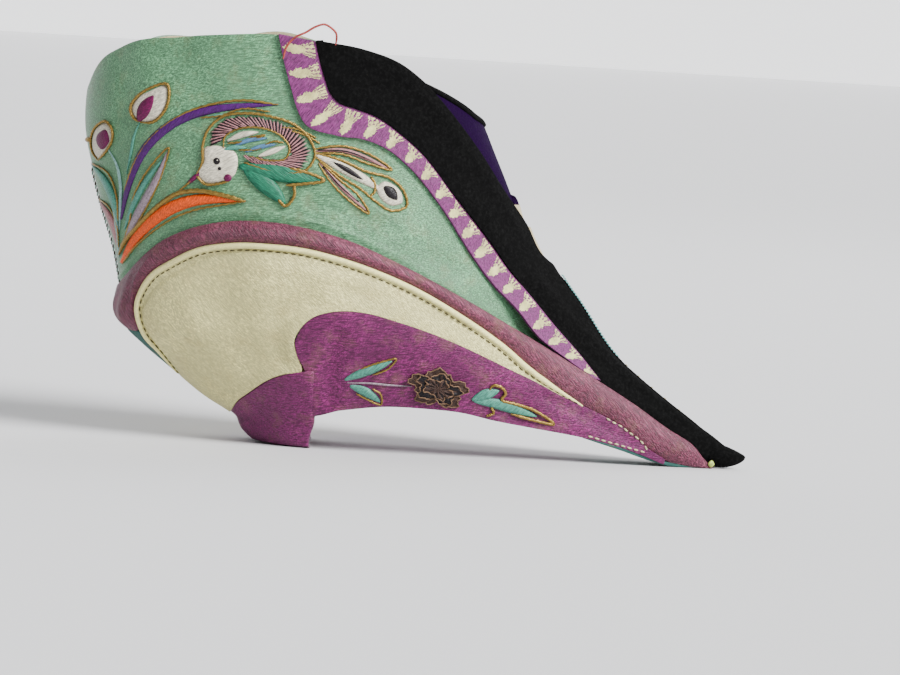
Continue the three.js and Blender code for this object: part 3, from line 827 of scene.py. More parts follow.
class ShoeSizes(bpy.types.PropertyGroup):
    """Sizes of the cloth pieces that a maker would change."""

    wall: bpy.props.FloatProperty(
        name="Wall", description="Thickness of the upper's wall", default=1.7 * MM, unit="LENGTH")
    felt: bpy.props.FloatProperty(
        name="Felt", description="Thickness of the vamp", default=1.0 * MM, unit="LENGTH")
    ribbon: bpy.props.FloatProperty(
        name="Ribbon", description="Thickness of the ribbon", default=0.7 * MM, unit="LENGTH")
    band: bpy.props.FloatProperty(
        name="Band", description="Height of the padded band", default=2.0 * MM, unit="LENGTH")
    piping: bpy.props.FloatProperty(
        name="Piping", description="Radius of the piping", default=0.65 * MM, unit="LENGTH")
    cover: bpy.props.FloatProperty(
        name="Cover", description="Thickness of the sole's covers", default=0.9 * MM, unit="LENGTH")
    gap: bpy.props.FloatProperty(
        name="Gap", description="Space between sewn layers", default=0.3 * MM, unit="LENGTH")
    motif_spacing: bpy.props.FloatProperty(
        name="Motif spacing", description="Distance between the ribbon's leaves",
        default=5.2 * MM, unit="LENGTH")
    stitch: bpy.props.FloatProperty(
        name="Stitch spacing", description="Distance between running stitches",
        default=1.6 * MM, unit="LENGTH")


class ShoeColours(bpy.types.PropertyGroup):
    """Colours of the cloths and the gold thread, linear."""

    mint: bpy.props.FloatVectorProperty(
        name="Mint", description="Satin of the quarters",
        default=(0.148, 0.390, 0.188, 1), size=4, min=0, max=1, subtype="COLOR")
    mauve: bpy.props.FloatVectorProperty(
        name="Mauve", description="Silk of the padded band",
        default=(0.255, 0.052, 0.105, 1), size=4, min=0, max=1, subtype="COLOR")
    cream: bpy.props.FloatVectorProperty(
        name="Cream", description="Satin of the sides, the piping and the ribbon's leaves",
        default=(0.880, 0.810, 0.340, 1), size=4, min=0, max=1, subtype="COLOR")
    magenta: bpy.props.FloatVectorProperty(
        name="Magenta", description="Satin of the heel and the arch",
        default=(0.235, 0.018, 0.138, 1), size=4, min=0, max=1, subtype="COLOR")
    teal: bpy.props.FloatVectorProperty(
        name="Teal", description="Cloth of the strips at the heel and the toe",
        default=(0.020, 0.095, 0.080, 1), size=4, min=0, max=1, subtype="COLOR")
    felt: bpy.props.FloatVectorProperty(
        name="Felt", description="Felt of the vamp",
        default=(0.0014, 0.0014, 0.0014, 1), size=4, min=0, max=1, subtype="COLOR")
    purple: bpy.props.FloatVectorProperty(
        name="Purple", description="Silk of the flap",
        default=(0.010, 0.0008, 0.022, 1), size=4, min=0, max=1, subtype="COLOR")
    violet: bpy.props.FloatVectorProperty(
        name="Violet", description="Ground of the ribbon",
        default=(0.150, 0.020, 0.115, 1), size=4, min=0, max=1, subtype="COLOR")
    ivory: bpy.props.FloatVectorProperty(
        name="Ivory", description="Cotton of the lining, the facing and the insole",
        default=(0.50, 0.43, 0.27, 1), size=4, min=0, max=1, subtype="COLOR")
    gold: bpy.props.FloatVectorProperty(
        name="Gold", description="Couched gold thread",
        default=(0.30, 0.19, 0.045, 1), size=4, min=0, max=1, subtype="COLOR")


def sizes_now():
    return bpy.context.scene.lotus_shoe


def colours_now():
    return bpy.context.scene.lotus_colours


def toe_drop(level):
    """How far the ridge lies under the last's between the throat and the toe's tip."""
    return TOE_DROP * np.clip((0.38 - level) / 0.13, 0, 1) * np.clip(level / 0.11, 0, 1)


def ring_turns(u):
    """Turns from the back round the left side to the back again, closer together at the front."""
    swing = 2 * u - 1
    return math.pi * np.sign(swing) * np.abs(swing) ** 1.25


class LOTUS_OT_upper(bpy.types.Operator):
    """Mint satin quarters: one hollow wall with its lining, and the overcast seam up the back"""

    bl_idname = "lotus.upper"
    bl_label = "Upper"

    def execute(self, context):
        sizes = sizes_now()
        top = laid(COLLAR, 400)
        foot = laid(BED, 200)
        crease = laid(BAND_TOP, 200)

        def shape(u, v):
            turn = ring_turns(u)
            side = np.abs(turn)
            high = np.interp(side, top[0][::-1], top[1][::-1])
            low = np.interp(side, foot[0][::-1], foot[1][::-1])
            high = high + 0.004 * np.sin(9 * turn) * np.clip((high - 0.8) / 0.1, 0, 1)
            high = high - 0.014 * np.clip((1.36 - side) / 0.08, 0, 1)
            low = np.maximum(low, 0.16 * np.clip((0.95 - side) / 0.2, 0, 1))
            level = low + (high - low) * v
            band = np.interp(side, crease[0][::-1], crease[1][::-1])
            fold = np.exp(-(((level - band) * HEIGHT - 1.6 * MM) / (0.40 * MM)) ** 2)
            fold = fold * np.clip((band - 0.24) / 0.06, 0, 1)
            swell = relief(turn, level, MINT_FOLDS) * np.clip((2.9 - side) / 0.3, 0, 1)
            points = lifted(turn, level, 0.38 * MM * fold + swell)
            tuck = np.clip((0.42 - level) / 0.08, 0, 1) * np.clip((1.15 - side) / 0.45, 0, 1)
            points[:, 0] -= 1.3 * MM * tuck
            points[:, 1] *= 1 - 0.15 * tuck
            points[:, 2] -= toe_drop(level) * tuck
            return points

        upper = sheet_of("quarters", shape, 230, 100, sizes.wall, 0.35 * MM, weld=True)
        finished(upper, FINISHES["mint"], ["upper"])
        self.line(upper)
        self.back_seam()
        return {"FINISHED"}

    def line(self, upper):
        """Gives the wall's inner faces the cotton lining."""
        upper.data.materials.append(FINISHES["lining"])
        away = face_rows(upper, "center") - [-0.020, 0, 0]
        away[:, 2] = 0
        normals = face_rows(upper, "normal")
        level_enough = np.abs(normals[:, 2]) < 0.75
        inner = ((away * normals).sum(axis=1) < 0) & level_enough
        upper.data.polygons.foreach_set("material_index", inner.astype(np.int32))
        upper.data.update()

    def back_seam(self):
        """Pale stitches up the back, with dark ones sunk between them as painted shade in the gaps."""
        levels = np.linspace(0.365, 0.640, 34)
        lean = np.tile([[0.0, 1.0, 0.55]], (len(levels) // 2, 1))
        thread = 0.45 * MM
        centres = lifted(math.pi, levels[::2], 0.30 * MM)
        pale = stitches("back_stitches", centres, lean, 2.0 * MM, thread)
        finished(pale, FINISHES["mint_thread"], ["back_seam"])
        # The dark stitches stand in for the shade in the gaps between the pale ones: painted shade.
        centres = lifted(math.pi, levels[1::2], 0.22 * MM)
        dark = stitches("back_gaps_painted_shade", centres, lean, 1.8 * MM, thread)
        finished(dark, FINISHES["dark"])


class LOTUS_OT_throat(bpy.types.Operator):
    """Purple silk flap with its black binding, and the ivory facing under it"""

    bl_idname = "lotus.throat"
    bl_label = "Flap and facing"

    def execute(self, context):
        sizes = sizes_now()

        def flap(u, v):
            swing = 2 * u - 1
            head = np.interp(np.abs(swing) * FLAP_HEAD[-1, 0], *FLAP_HEAD.T)
            level = FLAP_FOOT + (head - FLAP_FOOT) * v
            turn = swing * np.interp(level, *FLAP_REACH.T)
            waves = 0.22 * MM * np.sin(5 * turn + 14 * level)
            return lifted(turn, level, -sizes.wall - sizes.gap + waves)

        tongue = sheet_of("throat_flap", flap, 70, 44, 1.0 * MM, 0.3 * MM)
        finished(tongue, FINISHES["purple"], ["tongue"])
        u = np.linspace(0, 1, 70)
        rim = flap(u, np.ones(70))
        binding = tube("flap_binding", rim, 0.55 * MM, sides=8)
        finished(binding, FINISHES["felt"])

        def facing(u, v):
            swing = 2 * u - 1
            level = 0.44 + 0.180 * v
            wide = 0.28 + 0.30 * v
            return lifted(swing * wide, level, -0.75 * MM)

        strip = sheet_of("throat_facing_cloth", facing, 24, 16, 0.9 * MM, 0.25 * MM)
        finished(strip, FINISHES["ivory"], ["throat_facing"])
        return {"FINISHED"}


class LOTUS_OT_vamp(bpy.types.Operator):
    """Black felt on both sides of the toe, and the overcast seam along its ridge"""

    bl_idname = "lotus.vamp"
    bl_label = "Felt vamp"

    def execute(self, context):
        sizes = sizes_now()
        ridge = laid(COLLAR[7:], 300, extra=[(0.0, 0.455), (0.0, 0.25), (0.0, 0.02)])
        inner = laid(RIBBON_FRONT + BAND_TOP[14:], 300)
        across = between(ridge, inner)
        for name, side in SIDES:
            def shape(u, v, side=side):
                turn, level = across(u, v)
                swell = np.sin(math.pi * np.clip(v, 0, 1)) ** 0.5 * 0.25 * MM
                slack = 1 - 0.75 * np.clip((0.40 - level) / 0.34, 0, 1)
                lift = (sizes.gap + sizes.felt - 0.2 * MM) * slack + swell
                lift = np.maximum(lift + relief(turn, level, FELT_FOLDS) * slack, 0.25 * MM)
                points = lifted(turn * side, level, lift)
                points[:, 2] -= toe_drop(level) * np.exp(-(v / 0.55) ** 2)
                points[:, 0] += 0.9 * MM * np.clip((0.12 - level) / 0.10, 0, 1) * (1 - v)
                return points

            piece = sheet_of(f"felt_{name}", shape, 170, 44, sizes.felt, 0.35 * MM)
            finished(piece, FINISHES["felt"], [f"vamp_{name}"])
        levels = np.linspace(0.452, 0.03, 90)
        spine = lifted(0.0, levels, np.linspace(0.75, -0.15, 90) * MM)
        spine[:, 2] -= toe_drop(levels)
        spine = np.concatenate([spine, [[0.0708, 0, 0.0024]]])
        seam = joined("ridge_seam", [tube("ridge_cord", spine, 0.72 * MM, sides=8), self.tip()])
        finished(seam, FINISHES["felt"], ["front_seam"])
        self.overcast()
        return {"FINISHED"}

    def tip(self):
        """The felt folded round the toe's point."""
        clear_selection()
        bpy.ops.mesh.primitive_uv_sphere_add(segments=28, ring_count=18, radius=1)
        ball = bpy.context.object
        points = corners(ball)
        blunt = points * (5.6 * MM, 2.2 * MM, 2.5 * MM)
        blunt[:, 2] -= 1.1 * MM * points[:, 0] * np.clip(points[:, 2], 0, 1)
        blunt[:, 1:] *= (1 - 0.18 * np.clip(points[:, 0], 0, 1) ** 2)[:, None]
        place(ball, blunt + (0.0680, 0, 0.00265))
        bpy.ops.object.shade_smooth()
        return ball

    def overcast(self):
        """Teal stitches over the ridge, and small pale ones nearer the toe."""
        levels = np.linspace(0.44, 0.27, 30)
        centres = lifted(0.0, levels, np.linspace(1.50, 1.05, 30) * MM)
        centres[:, 2] -= toe_drop(levels)
        lean = np.tile([[0.5, 1.0, -0.3]], (len(levels), 1))
        teal = stitches("ridge_stitches", centres, lean, 1.9 * MM, 0.34 * MM)
        finished(teal, FINISHES["teal_thread"])
        levels = np.linspace(0.25, 0.15, 5)
        centres = lifted(0.0, levels, np.linspace(1.10, 0.85, 5) * MM)
        centres[:, 2] -= toe_drop(levels)
        lean = np.tile([[0.8, 0.5, -0.5]], (len(levels), 1))
        dots = stitches("ridge_dots", centres, lean, 0.7 * MM, 0.22 * MM)
        finished(dots, FINISHES["cream_thread"])


class LOTUS_OT_ribbon(bpy.types.Operator):
    """Woven ribbon from the collar to the band"""

    bl_idname = "lotus.ribbon"
    bl_label = "Ribbon"

    def execute(self, context):
        sizes = sizes_now()
        back = np.array(RIBBON_BACK)
        front = np.array(RIBBON_FRONT)
        middle = (back + front) / 2 * (LENGTH, HEIGHT)
        run = lengths_along(middle)
        run /= run[-1]

        def across(u, v):
            along = [smooth(u, run, rows[:, 0]) for rows in (back, front)]
            levels = [smooth(u, run, rows[:, 1]) for rows in (back, front)]
            turns = [turn_at(*ends) for ends in zip(along, levels)]
            return turns[0] + (turns[1] - turns[0]) * v, levels[0] + (levels[1] - levels[0]) * v

        for name, side in SIDES:
            def shape(u, v, side=side):
                turn, level = across(u, v)
                pull = 0.08 * MM * np.sin(130 * u) * np.sin(math.pi * v)
                return lifted(turn * side, level, sizes.gap + sizes.ribbon - 0.15 * MM + pull)

            piece = sheet_of(f"ribbon_{name}_woven", shape, 200, 14, sizes.ribbon, 0.2 * MM)
            finished(piece, FINISHES["ribbon"], [f"ribbon_{name}"])
        return {"FINISHED"}


class LOTUS_OT_band(bpy.types.Operator):
    """Padded mauve band round the foot, the cream piping under it and its running stitches"""

    bl_idname = "lotus.band"
    bl_label = "Band and piping"

    def execute(self, context):
        sizes = sizes_now()
        across = between(laid(BAND_TOP, 300), laid(BAND_FOOT, 300))
        for name, side in SIDES:
            def shape(u, v, side=side):
                turn, level = across(u, v)
                pad = np.sin(math.pi * (0.06 + 0.88 * v)) ** 0.6
                slack = 1 - np.clip((u - 0.8) / 0.2, 0, 1) * 0.35
                slack = slack - np.clip((0.05 - u) / 0.05, 0, 1) * 0.3
                pleats = np.sin(150 * u + 9 * v + 3 * np.sin(31 * u)) * np.exp(-(u / 0.10) ** 2)
                pleats = pleats * 0.20 * MM
                pulls = np.sin(95 * u + 6 * v) * np.sin(17 * u) * 0.06 * MM
                lift = sizes.gap + sizes.band * pad * slack + (pleats + pulls) * np.sin(math.pi * v)
                points = lifted(turn * side, level, lift)
                points[:, 2] = np.maximum(points[:, 2], 0.12 * MM)
                return points

            piece = sheet_of(f"band_{name}", shape, 260, 22, 0.8 * MM, 0.2 * MM)
            keep_above_floor(piece)
            finished(piece, FINISHES["mauve"], [f"rim_band_{name}"])
            self.piping(name, side, sizes)
        return {"FINISHED"}

    def piping(self, name, side, sizes):
        """The cord along the band's foot, and its running stitches on the satin's side."""
        turn, level = laid(PIPING, 200)
        turn = turn * side
        edge = on_last(turn, level)
        tangent = unit(np.gradient(edge, axis=0))
        normal = outward(turn, level)
        inner = np.cross(tangent, normal)
        centre = on_last(turn_at(0.42, 0.36) * side, 0.36)
        if ((centre - edge[80]) * inner[80]).sum() < 0:
            inner = -inner
        narrow = np.clip((1.0 - np.linspace(0, 1, 200)) / 0.12, 0.15, 1)[:, None]
        path = edge + inner * 0.55 * MM * narrow + normal * (sizes.gap + sizes.cover - 0.05 * MM)
        cord = tube(f"piping_{name}_cord", path, sizes.piping, taper=0.25, sides=10)
        finished(cord, FINISHES["piping"], [f"piping_{name}"])
        line = edge + inner * 1.55 * MM * narrow + normal * (sizes.gap + sizes.cover + 0.05 * MM)
        run = lengths_along(line)
        spots = np.arange(1.0 * MM, run[-1] - 1.5 * MM, sizes.stitch)
        dots = stitches(f"piping_{name}_stitches", read_at(spots, run, line),
                        read_at(spots, run, tangent), 1.25 * MM, 0.30 * MM)
        finished(dots, FINISHES["dark"])


class LOTUS_OT_covers(bpy.types.Operator):
    """Cream satin sides, teal strips, and the magenta satin of the heel and the arch"""

    bl_idname = "lotus.covers"
    bl_label = "Sole covers"

    def execute(self, context):
        sizes = sizes_now()
        lift = sizes.gap + sizes.cover
        across = between(laid(PIPING, 400), laid(SATIN_FOOT, 400))
        for name, side in SIDES:
            def shape(u, v, side=side):
                turn, level = across(u, 0.01 + 0.985 * v)
                stretch = np.clip(np.minimum(v, 1 - v) / 0.12, 0, 1) * np.clip(u / 0.05, 0, 1)
                swell = relief(turn, level, CREAM_FOLDS) * stretch
                tuck = 0.35 * MM * np.exp(-((v - 0.075) / 0.02) ** 2) * np.clip((0.9 - u) / 0.2, 0, 1)
                return lifted(turn * side, level, lift + swell - tuck)

            piece = sheet_of(f"satin_side_{name}", shape, 220, 70, sizes.cover, 0.25 * MM)
            finished(piece, FINISHES["cream"], [f"side_cover_{name}"])
        self.gusset(lift, sizes)
        self.heel(lift)
        self.arch(lift, sizes)
        self.strip(lift)
        return {"FINISHED"}

    def gusset(self, lift, sizes):
        """The strip round the heel's back, from one end of the piping to the other."""
        turn, level = laid(PIPING[:4], 80)
        head = 0.264

        def shape(u, v):
            height = level[0] + (head - level[0]) * v
            side = np.interp(height, level, turn)
            return lifted(math.pi + (math.pi - side) * (2 * u - 1), height, lift - 0.1 * MM)

        piece = sheet_of("heel_gusset", shape, 30, 30, sizes.cover, 0.2 * MM)
        finished(piece, FINISHES["teal"], ["back_gusset"])

    def heel(self, lift):
        """A cup: flanks, rounded breast and flat bottom in one sheet."""
        sides = between(laid(CAP_TOP, 200), laid(CAP_FOOT, 200))
        around, down, under = 180, 40, 14
        walls = np.zeros((around, down, 3))
        swing = np.linspace(0, 1, around, endpoint=False) * 4 - 2
        for row, v in enumerate(np.linspace(0, 1, down)):
            # From -1 to 1 the ring runs along both flanks, past the heel's back; the rest is the breast
            flank = np.abs(swing) <= 1
            side = np.where(swing < 0, -1, 1)
            turn, level = sides(np.clip(np.abs(swing), 0, 1), v)
            proud = (0.15 + 0.3 * np.abs(swing).clip(0, 1) ** 2) * MM
            ring = lifted(turn * side, level, lift + proud)
            share = np.clip(np.abs(swing) - 1, 0, 1)
            ring[:, 1] *= np.where(flank, 1, 1 - share)
            bow = 0.15 + 2.2 * math.sin(math.pi * (0.08 + 0.84 * v))
            ahead = np.clip((np.abs(swing) - 0.80) / 0.20, 0, 1) * bow * MM
            ring[:, 0] += ahead - np.where(flank, 0, 0.3 * MM * np.sin(math.pi * share / 2))
            ring[:, 2] = np.maximum(ring[:, 2], (0.25 + 1.3 * (1 - v)) * MM)
            walls[:, row] = rounded_loop(ring, 5)
        floor = walls[:, -1].copy()
        floor[:, 2] = 0.0
        middle = floor.mean(axis=0)
        rings = [walls[:, row] for row in range(down)]
        rings[-1] = floor + (middle - floor) * 0.015 + [0, 0, 0.25 * MM]
        for t in np.linspace(0.05, 1, under):
            rings.append(floor + (middle - floor) * t)
        grid = np.stack(rings, 1)

        def shape(u, v):
            i = np.rint(u * around).astype(int) % around
            j = np.rint(v * (grid.shape[1] - 1)).astype(int)
            return grid[i, j]

        cap = sheet_of("heel_satin", shape, around, grid.shape[1] - 1, 0.5 * MM, 0, weld=True)
        keep_above_floor(cap)
        finished(cap, FINISHES["magenta"], ["heel_cap"])

    def arch(self, lift, sizes):
        """One sheet down a flank, under the arch and up the other flank."""
        sides = between(laid(ARCH_EDGE, 300), laid(ARCH_FOOT, 300))
        wide = 0.34

        def shape(u, v):
            swing = 2 * v - 1
            side = np.where(swing < 0, -1, 1)
            down = np.clip((1 - np.abs(swing)) / (1 - wide), 0, 1)
            turn, level = sides(u, down)
            sewn = np.clip(down / 0.1, 0, 1) * np.clip((1 - down) / 0.1, 0, 1)
            swell = relief(turn, level, ARCH_FOLDS) * sewn
            points = lifted(turn * side, level, lift + swell)
            points[:, 1] *= np.clip(np.abs(swing) / wide, 0, 1)
            return points

        panel = sheet_of("arch_satin", shape, 170, 110, sizes.cover, 0.25 * MM)
        finished(panel, FINISHES["magenta"], ["arch_cover"])

    def strip(self, lift):
        """The thin strip under the forefoot."""
        line = laid(TOE_STRIP, 120)
        steps = np.linspace(0, 1, 120)

        def shape(u, v):
            turn = np.interp(u, steps, line[0])
            level = np.interp(u, steps, line[1])
            swing = 2 * v - 1
            edge = lifted(turn, np.maximum(level, 0.004), lift)
            return np.stack([edge[:, 0], edge[:, 1] * swing, level * HEIGHT], -1)

        piece = sheet_of("toe_strip_cloth", shape, 50, 16, 0.8 * MM, 0.2 * MM)
        finished(piece, FINISHES["teal"], ["toe_strip"])


class LOTUS_OT_insole(bpy.types.Operator):
    """Cloth bed inside the shoe"""

    bl_idname = "lotus.insole"
    bl_label = "Insole"

    def execute(self, context):
        sizes = sizes_now()
        foot = laid(BED, 200)
        steps = np.linspace(0, 1, 200)

        def shape(u, v):
            turn = np.interp(BED_RUN * u, steps, foot[0])
            level = np.interp(BED_RUN * u, steps, foot[1]) + 1.8 * MM / HEIGHT
            edge = lifted(turn, level, -sizes.wall - 0.4 * MM)
            swing = 2 * v - 1
            hollow = 0.5 * MM * (1 - swing ** 2) * np.sin(math.pi * u)
            return np.stack([edge[:, 0], edge[:, 1] * swing, edge[:, 2] - hollow], -1)

        piece = sheet_of("insole_cloth", shape, 60, 24, 1.2 * MM, 0.2 * MM)
        finished(piece, FINISHES["ivory"], ["insole"])
        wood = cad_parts["sole"]
        wood.data.materials.clear()
        wood.data.materials.append(FINISHES["wood"])
        return {"FINISHED"}


def drawn(rows, count, closed=False):
    """A smooth line on the side view, in metres from the back and the ground."""
    points = np.array(rows, float) * (LENGTH, HEIGHT)
    if closed:
        points = np.concatenate([points[-3:], points, points[:4]])
    run = lengths_along(points)
    start, end = (run[3], run[-4]) if closed else (run[0], run[-1])
    steps = np.linspace(start, end, count)
    return np.stack([smooth(steps, run, points[:, 0]), smooth(steps, run, points[:, 1])], -1)


def on_side(points, side, lift):
    """Puts side-view points on one side of the shoe."""
    along = points[..., 0] / LENGTH
    up = points[..., 1] / HEIGHT
    return lifted(turn_at(along, up) * side, up, lift)


def petal(rows, width, side, base):
    """A domed leaf of floss along a spine."""
    count = 60
    spine = drawn(rows, count)
    aim = unit(np.gradient(spine, axis=0))
    across = np.stack([-aim[:, 1], aim[:, 0]], -1)

    def shape(u, v):
        i = np.clip(np.rint(u * (count - 1)).astype(int), 0, count - 1)
        swing = 2 * v - 1
        leaf = np.maximum(np.sin(math.pi * np.clip(u * 0.94 + 0.04, 0, 1)), 0) ** 0.7
        wide = width * MM / 2 * leaf
        points = spine[i] + across[i] * (swing * wide)[:, None]
        dome = np.sqrt(np.maximum(1 - swing ** 2, 0)) * np.minimum(0.45 * MM, 0.35 * width * MM)
        return on_side(points, side, base + dome * np.sin(math.pi * np.clip(u, 0.05, 0.95)) ** 0.5)

    return sheet_of("petal", shape, 20, 6, 0.25 * MM, 0)


def heart(rows, side, base, dome=0.45):
    """A closed domed patch of floss."""
    around = 48
    ring = drawn(rows, around + 1, closed=True)
    middle = ring[:-1].mean(axis=0)

    def shape(u, v):
        i = np.rint(u * around).astype(int) % around
        points = middle + (ring[i] - middle) * (1 - v)[:, None]
        return on_side(points, side, base + dome * MM * np.sqrt(np.maximum(1 - (1 - v) ** 2, 0)))

    return sheet_of("heart", shape, around, 6, 0.25 * MM, 0, weld=True)


def gold_line(rows, radius, side, base):
    """A couched gold thread, which wavers a little."""
    count = 14 * len(rows)
    points = drawn(rows, count)
    step = np.arange(count)
    points[:, 0] += 0.05 * MM * np.sin(1.9 * step)
    points[:, 1] += 0.05 * MM * np.sin(1.3 * step + 2)
    path = on_side(points, side, base + radius * MM * 0.3)
    return tube("gold", path, radius * 0.82 * MM, taper=0.4, sides=6)


def row_of_stitches(rows, side, lift, gap, size, thickness, name):
    """Running stitches along a line on the side view."""
    path = on_side(drawn(rows, 200), side, lift)
    run = lengths_along(path)
    spots = np.arange(gap / 2, run[-1], gap)
    aims = read_at(spots, run, np.gradient(path, axis=0))
    return stitches(name, read_at(spots, run, path), aims, size, thickness)


class LOTUS_OT_embroidery(bpy.types.Operator):
    """Bird and flowers in floss and gold thread on the quarters, a flower on the arch"""

    bl_idname = "lotus.embroidery"
    bl_label = "Embroidery"

    def execute(self, context):
        groups = {}
        sizes = sizes_now()
        arch_base = sizes.gap + sizes.cover - 0.05 * MM
        for _, side in SIDES:
            for finish, width, *rows in PETALS:
                over = finish in ("heart", "black")
                base = 0.42 * MM if over else 0.12 * MM
                finish = "red" if finish == "heart" else finish
                groups.setdefault(finish, []).append(petal(rows, width, side, base))
            for finish, width, *rows in ARCH_PETALS:
                groups.setdefault(finish, []).append(petal(rows, width, side, arch_base))
            for finish, *rows in HEARTS:
                groups.setdefault(finish, []).append(heart(rows, side, 0.10 * MM))
            for finish, radius, place_at in DOTS:
                groups.setdefault(finish, []).append(self.dot(radius, place_at, side))
            for radius, *rows in GOLD_LINES:
                groups.setdefault("gold", []).append(gold_line(rows, radius, side, 0.15 * MM))
            for radius, *rows in ARCH_GOLD_LINES:
                groups.setdefault("gold", []).append(gold_line(rows, radius, side, arch_base))
            self.plumage(groups, side)
            self.cloth_flower(groups, side, arch_base)
            for rows in ARCH_STITCHES:
                groups.setdefault("cream_thread", []).append(
                    row_of_stitches(rows, side, arch_base + 0.1 * MM, 1.5 * MM, 1.1 * MM, 0.42 * MM, "row"))
        for finish, pieces in groups.items():
            whole = joined(f"embroidery_{finish}", pieces)
            finished(whole, FINISHES[finish])
        self.thread()
        return {"FINISHED"}

    def dot(self, radius, place_at, side):
        """A small round patch of floss."""
        middle = np.array(place_at)
        turns = np.linspace(0, 2 * math.pi, 10, endpoint=False)
        rows = [tuple(middle + np.array([math.cos(t) / LENGTH, math.sin(t) / HEIGHT]) * radius * MM)
                for t in turns]
        return heart(rows, side, 0.30 * MM, 0.5)

    def plumage(self, groups, side):
        """Pink and black floss by turns, across the bird's back and belly."""
        count = 100
        outer = drawn(BODY_OUTER, count + 8)
        inner = drawn(BODY_INNER, count + 8)
        for k, finish in ((0, "black"), (1, "pink")):
            heads = outer[k:count:2]
            feet = inner[k + 7:count + 7:2]
            drift = (np.arange(len(heads)) * 0.618 % 1 - 0.5)[:, None]
            a = on_side(heads + (heads - feet) * drift * 0.16, side, 0.25 * MM)
            feet = feet + (feet - heads) * drift * 0.30 + np.roll(feet, -1, 0) * drift * 0.004
            b = on_side(feet, side, 0.25 * MM)
            length = np.linalg.norm(b - a, axis=1) * 1.04
            groups.setdefault(finish, []).append(
                stitches("feathers", (a + b) / 2, b - a, length, 0.44 * MM))

    def cloth_flower(self, groups, side, base):
        """Frayed dark petals of cloth, sewn down in the middle."""
        around = 72
        turns = np.linspace(0, 2 * math.pi, around, endpoint=False)
        for size, phase, high, finish in ((1.0, 0.0, 0.5, "brown"), (0.78, 0.8, 0.9, "black"),
                                          (0.52, 2.1, 1.2, "brown")):
            reach = size * (1 + 0.16 * np.sin(5 * turns + phase) + 0.07 * np.sin(13 * turns + 2 * phase)
                            + 0.04 * np.sin(29 * turns))
            ahead = FLOWER_AT[0] * LENGTH + FLOWER_LONG * reach * np.cos(turns)
            up = FLOWER_AT[1] * HEIGHT + FLOWER_HIGH * reach * np.sin(turns) - 0.8 * MM * np.cos(turns)
            ring = np.stack([ahead, up], -1)
            middle = ring.mean(axis=0)

            def shape(u, v, ring=ring, middle=middle, phase=phase, high=high):
                i = np.rint(u * around).astype(int) % around
                angle = 2 * math.pi * u
                points = middle + (ring[i] - middle) * (1 - v)[:, None]
                curl = (np.sin(9 * angle + 3 * phase + 5 * v) + 0.6 * np.sin(17 * angle - 7 * v)) * 0.28 * MM
                lift = base + 0.2 * MM + high * 0.45 * MM + curl * (1 - v) * (0.4 + v)
                return on_side(points, side, np.maximum(lift, base + 0.1 * MM))

            groups.setdefault(finish, []).append(
                sheet_of("ruffle", shape, around, 12, 0.3 * MM, 0, weld=True))
            edge = np.concatenate([ring, ring[:1]])
            ripple = 0.25 * MM * np.sin(9 * np.append(turns, 0) + 3 * phase)
            wave = base + 0.35 * MM + high * 0.4 * MM + ripple
            groups.setdefault("frayed", []).append(
                tube("fray", on_side(edge, side, wave), 0.14 * MM, taper=1, sides=5))

    def thread(self):
        """A loose red thread at the top of the ribbon on the right side."""
        line = drawn(RED_THREAD, 60)
        depth = on_last(-turn_at(0.30, 0.95), 0.95)[1] - 1.6 * MM
        bow = np.sin(np.linspace(0, math.pi, 60)) * 1.2 * MM
        points = np.stack([line[:, 0] - SHIFT, depth - bow, line[:, 1]], -1)
        cord = tube("red_thread", points, 0.24 * MM, taper=0.6, sides=6)
        finished(cord, FINISHES["red_thread"])
        rows = [(0.950, 0.016), (0.955, 0.024), (0.960, 0.015), (0.955, 0.008)]
        bit = heart(rows, -1, 1.5 * MM, 0.4)
        finished(bit, FINISHES["yellow"])


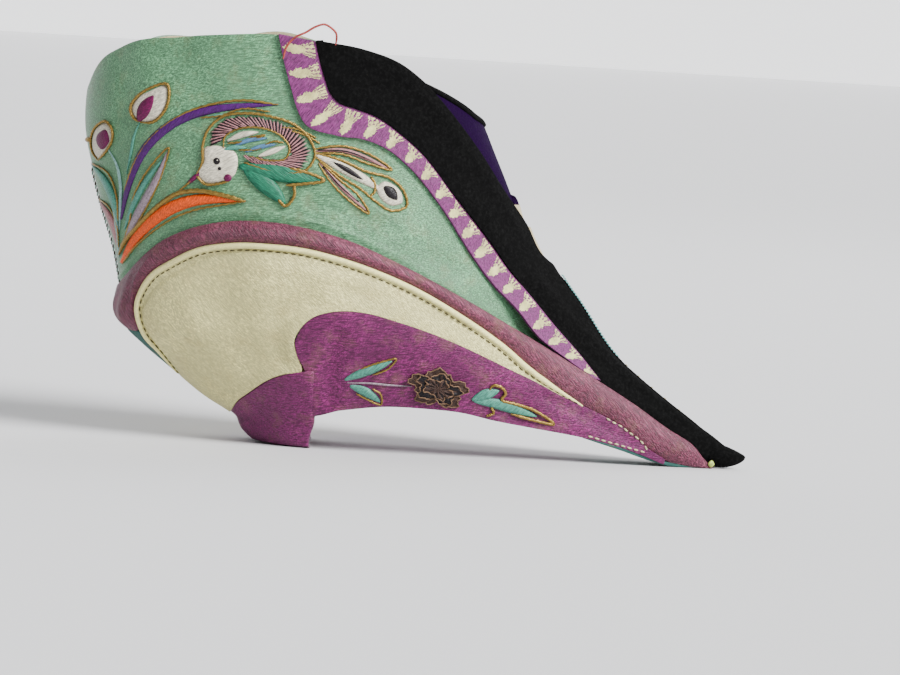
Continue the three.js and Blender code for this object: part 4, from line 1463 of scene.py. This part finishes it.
class LOTUS_OT_stage(bpy.types.Operator):
    """Pale floor and backdrop, soft studio light and the camera"""

    bl_idname = "lotus.stage"
    bl_label = "Stage"

    def execute(self, context):
        floor, _ = self.paper("floor", 30, (0, 8, 0), 0, (0.60, 0.60, 0.61, 1))
        backdrop, shader = self.paper("backdrop", 80, (0, 22, 0), math.pi / 2, (0.5, 0.5, 0.5, 1))
        shader.inputs["Emission Color"].default_value = (0.97, 0.98, 1.0, 1)
        shader.inputs["Emission Strength"].default_value = 1.0
        self.sun((0.85, -0.62, 0.80), 8.8)
        self.light("fill", (0.7, -1.3, 0.5), 0.8, 3.0)
        self.light("rim", (0.5, 0.8, 0.9), 0.8, 4)
        world = bpy.data.worlds.new("studio")
        bpy.context.scene.world = world
        world.use_nodes = True
        sky = world.node_tree.nodes["Background"]
        sky.inputs["Color"].default_value = (0.94, 0.96, 1.0, 1)
        sky.inputs["Strength"].default_value = 0.38
        self.camera()
        return {"FINISHED"}

    def paper(self, name, size, at, tilt, colour):
        """A plain sheet of paper, with its material's shader."""
        clear_selection()
        bpy.ops.mesh.primitive_plane_add(size=size, location=at, rotation=(tilt, 0, 0))
        sheet = bpy.context.object
        sheet.name = name
        material, _, _, shader = new_material(f"{name}_paper", colour, 0.9, 0)
        sheet.data.materials.append(material)
        return sheet, shader

    def sun(self, at, power):
        """A broad sun that shines from a place towards the shoe."""
        lamp = bpy.data.lights.new("key", "SUN")
        lamp.energy = power
        lamp.angle = math.radians(30)
        holder = linked("key", lamp)
        holder.rotation_euler = (-Vector(at)).to_track_quat("-Z", "Y").to_euler()

    def light(self, name, at, size, power):
        """A soft lamp, aimed at the middle of the shoe's height."""
        lamp = bpy.data.lights.new(name, "AREA")
        lamp.size = size
        lamp.energy = power
        holder = linked(name, lamp)
        holder.location = at
        aim = Vector((0, 0, 0.04)) - Vector(at)
        holder.rotation_euler = aim.to_track_quat("-Z", "Y").to_euler()

    def camera(self):
        """The view of the photograph, fitted to lines measured in it."""
        camera = bpy.data.cameras.new("photo_view")
        holder = linked("photo_view", camera)
        camera.lens = 168.5
        camera.sensor_width = 36
        camera.clip_start = 0.01
        spot = Vector((-0.0089, -0.8976, 0.0873))
        aim = Vector((0.0088, 0.0, 0.0245)) - spot
        holder.rotation_mode = "QUATERNION"
        roll = Quaternion((0, 0, 1), math.radians(3.58))
        holder.rotation_quaternion = aim.to_track_quat("-Z", "Y") @ roll
        holder.location = spot
        bpy.context.scene.camera = holder


class LOTUS_PT_panel(bpy.types.Panel):
    """The steps of dressing the shoe"""

    bl_idname = "LOTUS_PT_panel"
    bl_label = "Lotus shoe"
    bl_space_type = "VIEW_3D"
    bl_region_type = "UI"
    bl_category = "Lotus shoe"

    def draw(self, context):
        layout = self.layout
        for name in ShoeSizes.__annotations__:
            layout.prop(context.scene.lotus_shoe, name)
        for name in ShoeColours.__annotations__:
            layout.prop(context.scene.lotus_colours, name)
        for step in STEPS:
            layout.operator(step.bl_idname)


STEPS = (
    LOTUS_OT_upper, LOTUS_OT_throat, LOTUS_OT_vamp, LOTUS_OT_ribbon, LOTUS_OT_band,
    LOTUS_OT_covers, LOTUS_OT_insole, LOTUS_OT_embroidery, LOTUS_OT_stage,
)


def register():
    for item in (ShoeSizes, ShoeColours, *STEPS, LOTUS_PT_panel):
        bpy.utils.register_class(item)
    bpy.types.Scene.lotus_shoe = bpy.props.PointerProperty(type=ShoeSizes)
    bpy.types.Scene.lotus_colours = bpy.props.PointerProperty(type=ShoeColours)


def unregister():
    del bpy.types.Scene.lotus_shoe
    del bpy.types.Scene.lotus_colours
    for item in (LOTUS_PT_panel, *reversed(STEPS), ShoeColours, ShoeSizes):
        bpy.utils.unregister_class(item)


def main():
    register()
    FINISHES.update(make_finishes(sizes_now(), colours_now()))
    bpy.ops.lotus.upper()
    bpy.ops.lotus.throat()
    bpy.ops.lotus.vamp()
    bpy.ops.lotus.ribbon()
    bpy.ops.lotus.band()
    bpy.ops.lotus.covers()
    bpy.ops.lotus.insole()
    bpy.ops.lotus.embroidery()
    bpy.ops.lotus.stage()


if __name__ == "__main__":
    main()
